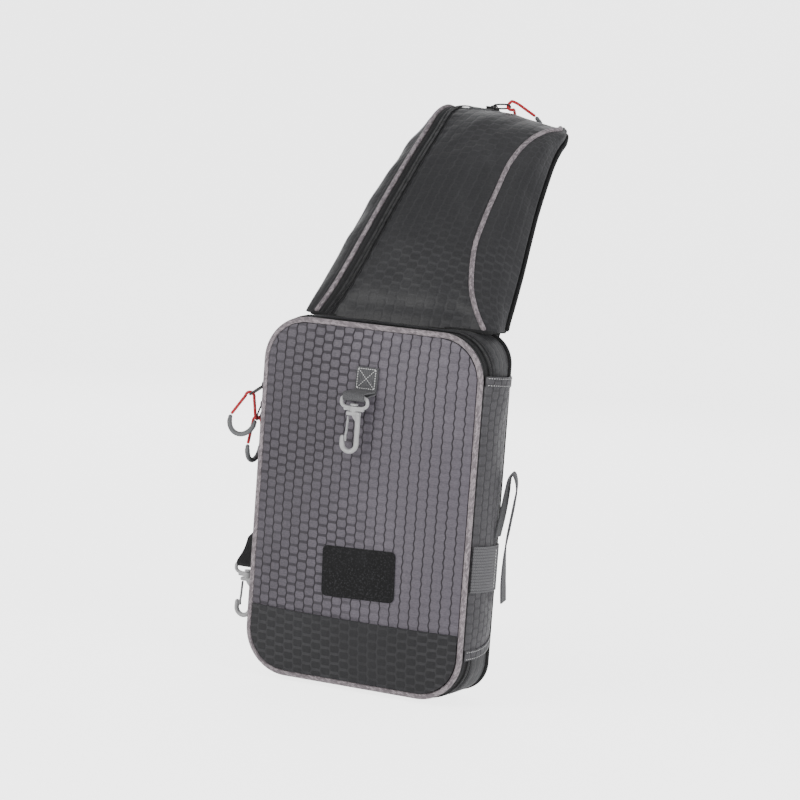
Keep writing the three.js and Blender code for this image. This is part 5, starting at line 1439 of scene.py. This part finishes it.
def make_strap_sides():
    for side, name in ((-1, "left"), (1, "right")):
        def at(s, t):
            place = POUCH_END * t
            _, _, pad, face, thick = section(place)
            face = face_right(place) if side > 0 else face
            foot = np.stack([pad - 1.2, np.full_like(pad, PAD_T / 2 + 0.3 + 1.6)], 1)
            cord = np.stack([face, piping_lift(thick)], 1)
            outward = foot - cord
            outward /= np.linalg.norm(outward, axis=1)[:, None]
            head = cord + outward * (STRAP_PIPING_D / 2 - 0.2)
            here = lerp(foot, head, s[:, None])
            run = run_at(place)
            soft = ripple(np.stack([s * 30, run * 0.8, 0 * s + side * 40], 1), 27.0, 51)
            folds = np.sin(run / 9.0 + s * 2.5 * side) * np.exp(-((run - 26) / 22) ** 2)
            free = np.sin(math.pi * s)
            bulge = free * np.minimum(5.0, thick * 0.16) + free * (0.9 * soft + 1.0 * folds)
            x, lift = here[:, 0] - outward[:, 1] * bulge, here[:, 1] + outward[:, 0] * bulge
            return over_pad(side * x, place, lift)

        def flat(s, t):
            return s * 45.0, run_at(POUCH_END * t)

        obj = cloth_sheet("strap_side_cloth_" + name, 44, 170, at, flat)
        dressed(obj, BLACK_CLOTH, "black_cloth", "strap_side_" + name)
        places = np.linspace(0.1, POUCH_END, 90)
        _, _, _, face, thick = section(places)
        face = face_right(places) if side > 0 else face
        path = over_pad(side * face, places, piping_lift(thick))
        piping = rod("strap_piping_cord_" + name, path, STRAP_PIPING_D / 2 - 0.05, 14, 420)
        dressed(piping, PIPING, "melange_piping", "strap_piping_" + name)
        # Two thin dark cords either side of the strap's piping are painted shade: they stand in for the
        # shadow in the seam's ditch.
        for aside, drop, label in ((-2.35, -0.9, "inner"), (1.3, -2.1, "outer")):
            path = over_pad(side * (face + aside), places, piping_lift(thick) + drop)
            seam_shadow = rod("strap_welt_%s_%s" % (label, name), path, 0.6, 6, 300)
            dressed(seam_shadow, TAPE, "zip_tape")


def make_foot_seam():
    """The bound seam that closes the strap's foot down onto the top of the bag."""
    foot = np.zeros(1)
    _, _, pad, face, thick = section(foot)
    high = piping_lift(thick)
    right = face_right(foot)
    corners = [over_pad(x, foot, lift)[0] for x, lift in (
        (-pad + 0.5, 0 * pad), (-face - 6, high * 0.6), (-face, high), (-face * 0.5, high + 1.5),
        (0 * face, high + 2.0), (face * 0.5, high + 1.5), (right, high), (right + 2, high * 0.6),
        (pad - 0.5, 0 * pad))]
    front = [(x, y, STRAP_FOOT + 0.2) for x, y, _ in corners]
    back = [(x, 3.0, STRAP_FOOT + 0.4) for x in np.linspace(-94, 94, 9)]
    for place, path, radius, count in (("strap", front, 1.7, 220), ("pad", back, 2.4, 160)):
        dressed(rod(place + "_foot_seam", path, radius, 10, count), BINDING, "zip_tape")


def make_pad():
    """The shoulder pad: foam with rolled edges under air mesh, and its bound left and right edge."""
    def at(s, t):
        place = STRAP_END * t
        _, _, pad, _, _ = section(place)
        angle = 2 * math.pi * s
        c, d = np.cos(angle), np.sin(angle)
        aside = np.sign(c) * np.abs(c) ** 0.55
        high = np.sign(d) * np.abs(d) ** 0.5
        x = pad * aside
        run = run_at(place)
        swell = ripple(on_plane(x, run), 30.0, 61) * 0.3
        quilt = np.exp(-((np.abs(x) - pad * 0.45) / 2.4) ** 2) * (d < 0) * eased(pad, 30, 60)
        close = np.sqrt(np.clip(np.minimum(t * 260, (1 - t) * 260) / 3.0, 0.02, 1))
        lift = high * (PAD_T / 2) * close + (swell * close + 1.2 * quilt) * np.abs(high)
        return over_pad(x, place, lift)

    def flat(s, t):
        place = STRAP_END * t
        pad = section(place)[2]
        return np.cos(2 * math.pi * s) * pad, run_at(place)

    obj = laid("shoulder_pad_foam", 96, 200, at, flat)
    welded(obj)
    smooth(obj)
    dressed(obj, AIR_MESH, "black_cloth", "shoulder_pad")
    places = np.linspace(0.02, STRAP_END - 0.02, 160)
    pad = section(places)[2]
    for name, side in (("left", -1), ("right", 1)):
        path = over_pad(side * pad, places, 0 * places)
        edge = rod("pad_binding_" + name, path, 2.3, 12, 320, flatten=(1.0, 0.8), side=(1, 0, 0))
        dressed(edge, BINDING, "zip_tape")


# Rear webbing

UPPER_WEB = [
    (-6.20, 210.60, 386.50),
    (-8.20, 213.66, 377.94), (-10.45, 217.31, 367.37), (-12.69, 221.16, 356.87), (-14.95, 224.76, 346.29),
    (-17.21, 227.68, 335.51), (-19.49, 229.64, 324.51), (-21.76, 230.87, 313.41), (-24.02, 231.57, 302.25),
    (-26.28, 231.91, 291.08), (-28.54, 232.01, 279.91), (-30.81, 231.99, 268.73), (-33.08, 231.95, 257.56),
    (-35.36, 231.75, 246.39), (-37.63, 231.17, 235.23), (-39.89, 230.01, 224.11), (-47.77, 225.96, 204.32),
    (-47.77, 219.87, 195.52), (-47.77, 220.20, 193.97), (-47.77, 221.11, 192.67), (-47.77, 222.47, 191.84),
    (-47.77, 224.04, 191.62), (-47.77, 225.57, 192.03), (-47.77, 226.81, 193.02), (-47.77, 228.03, 203.58),
    (-47.77, 233.11, 217.69)]
LOWER_WEB = [
    (-86.00, 8.50, 28.00), (-84.18, 22.67, 31.73), (-82.37, 36.86, 35.40), (-80.53, 50.89, 39.60),
    (-78.66, 64.67, 44.56), (-76.76, 78.29, 49.94), (-74.86, 91.71, 55.81), (-72.98, 104.86, 62.26),
    (-71.15, 117.71, 69.30), (-69.41, 130.36, 76.71), (-67.68, 142.71, 84.62), (-65.88, 154.57, 93.22),
    (-63.92, 165.72, 102.70), (-61.84, 176.06, 113.02), (-59.68, 185.67, 124.03), (-57.43, 194.49, 135.65),
    (-55.05, 202.48, 147.83), (-47.77, 212.06, 165.75), (-47.77, 212.99, 176.41), (-47.77, 214.23, 177.40),
    (-47.77, 215.76, 177.81), (-47.77, 217.33, 177.59), (-47.77, 218.69, 176.76), (-47.77, 219.60, 175.46),
    (-47.77, 219.93, 173.91), (-47.77, 214.13, 165.00), (-47.77, 209.04, 150.89)]


def make_rear_strap():
    for end, route, count in (("upper", UPPER_WEB, 260), ("lower", LOWER_WEB, 300)):
        ribbon("webbing_" + end, route, (1, 0, 0), 38.0, WEB_T, count, BLACK_WEBBING, "black_webbing",
               "rear_webbing_" + end, 20)
    at = np.array([-47.77, 219.90, 184.72])
    heading, outward = unit((0, -0.34, -0.94)), unit((0, -0.94, 0.34))
    half, high = 25.0 - 2.2, 13.5 - 1.7
    loop = rounded_loop(48, at, (half, 0, 0), heading * high, (0.28, 0.4))
    edge = rod("buckle_frame", loop, 1.9, 14, 220, closed=True, caps=False, flatten=(0.85, 1.0), side=outward)
    middle = [at + np.array([x, 0, 0]) for x in np.linspace(-half, half, 8)]
    bridge = rod("buckle_bar", middle, 1.9, 14, 60, flatten=(0.85, 1.0), side=outward)
    buckle = joined("buckle_mould", [edge, bridge], 0.42)
    dressed(buckle, BLACK_PLASTIC, "black_plastic", "strap_buckle")

    x, y, z = -82.0, BACK_PAD + 0.3 + 0.8, 28.0
    ribbon("anchor_webbing", [(x, y, z + k) for k in np.linspace(16, -8, 9)], (1, 0, 0), 32.0, 1.4, 30,
           BLACK_WEBBING, "black_webbing", "anchor_patch", 16)
    runs = box_and_cross(x - 14.0, x + 14.0, z - 6.0, z + 13.5, 10, lambda a, b: (a, y + 0.85, b), (0, 1, 0))
    stitches("anchor_stitches", runs, DARK_THREAD, "black_webbing", pitch=2.6)


# Studio

def make_studio():
    floor = float(CAD_BOX[0][2]) * 1000 - 3.5 - SEAT[2]
    flat_run, near, bend_r = 8200.0, 4700.0, 1500.0

    def at(s, t):
        # A floor that bends up into a wall far behind.
        run = t * 16000.0
        bend = np.clip((run - flat_run) / bend_r, 0, math.pi / 2)
        back = np.minimum(run, flat_run) - near + bend_r * np.sin(bend)
        rise = bend_r * (1 - np.cos(bend)) + np.maximum(0, run - flat_run - bend_r * math.pi / 2)
        return np.stack([(s - 0.5) * 18000.0, back, floor + rise], 1)

    sweep = smooth(laid("Backdrop", 4, 120, at, lambda s, t: (s * 100, t * 100)))
    material, n, surface = shader("Pale studio", Roughness=0.85, Emission_Color=(1, 1, 1, 1))
    paper = n.noise(n.place(), 3.0, 2.0)
    connect(n, surface, n.mix(paper, (0.80, 0.80, 0.805, 1), (0.82, 0.82, 0.825, 1)), None, None, 0)
    # The backdrop glows more where the camera sees it than where it lights the bag.
    glow, extra_glow = 0.6, 2.4
    seen = n.node("ShaderNodeLightPath", 0)
    n.tree.links.new(n.times(seen, extra_glow, glow), surface.inputs["Emission Strength"])
    sweep.data.materials.append(material)

    world = bpy.data.worlds.new("Studio")
    world.use_nodes = True
    backdrop = world.node_tree.nodes["Background"]
    backdrop.inputs["Color"].default_value = (0.97, 0.98, 1.0, 1)
    backdrop.inputs["Strength"].default_value = 0.34
    bpy.context.scene.world = world

    middle = Vector(((CAD_BOX[0][k] + CAD_BOX[1][k]) / 2 for k in range(3)))
    for name, place, power, size, tint in (
        ("Key light", (-0.9, -1.6, 0.75), 26.0, 1.1, (1.0, 0.99, 0.97)),
        ("Side light", (1.75, -0.9, 0.35), 27.0, 0.9, (1.0, 1.0, 1.0)),
        ("Top light", (0.25, 0.1, 1.7), 4.0, 1.0, (1.0, 1.0, 1.0)),
        ("Back light", (-0.9, 1.6, 0.8), 9.0, 1.2, (0.98, 0.99, 1.0)),
    ):
        data = bpy.data.lights.new(name, "AREA")
        data.energy, data.size, data.color = power, size, tint
        lamp = bpy.data.objects.new(name, data)
        bpy.context.scene.collection.objects.link(lamp)
        lamp.location = middle + Vector(place)
        lamp.rotation_euler = (middle - lamp.location).to_track_quat("-Z", "Y").to_euler()


for pull_name, pull_facts in PULLS.items():
    zip_pull(pull_name, **pull_facts)
make_body()
make_patch()
make_tabs()
snap_hook("front", (-4.7, -80.368, 255.0), "front_swivel")
snap_hook("side", (-120.0, -36.0, 87.8), "side_swivel")
make_pocket()
make_strap_face()
make_strap_zip()
make_strap_sides()
make_foot_seam()
make_pad()
make_rear_strap()
make_studio()

only()
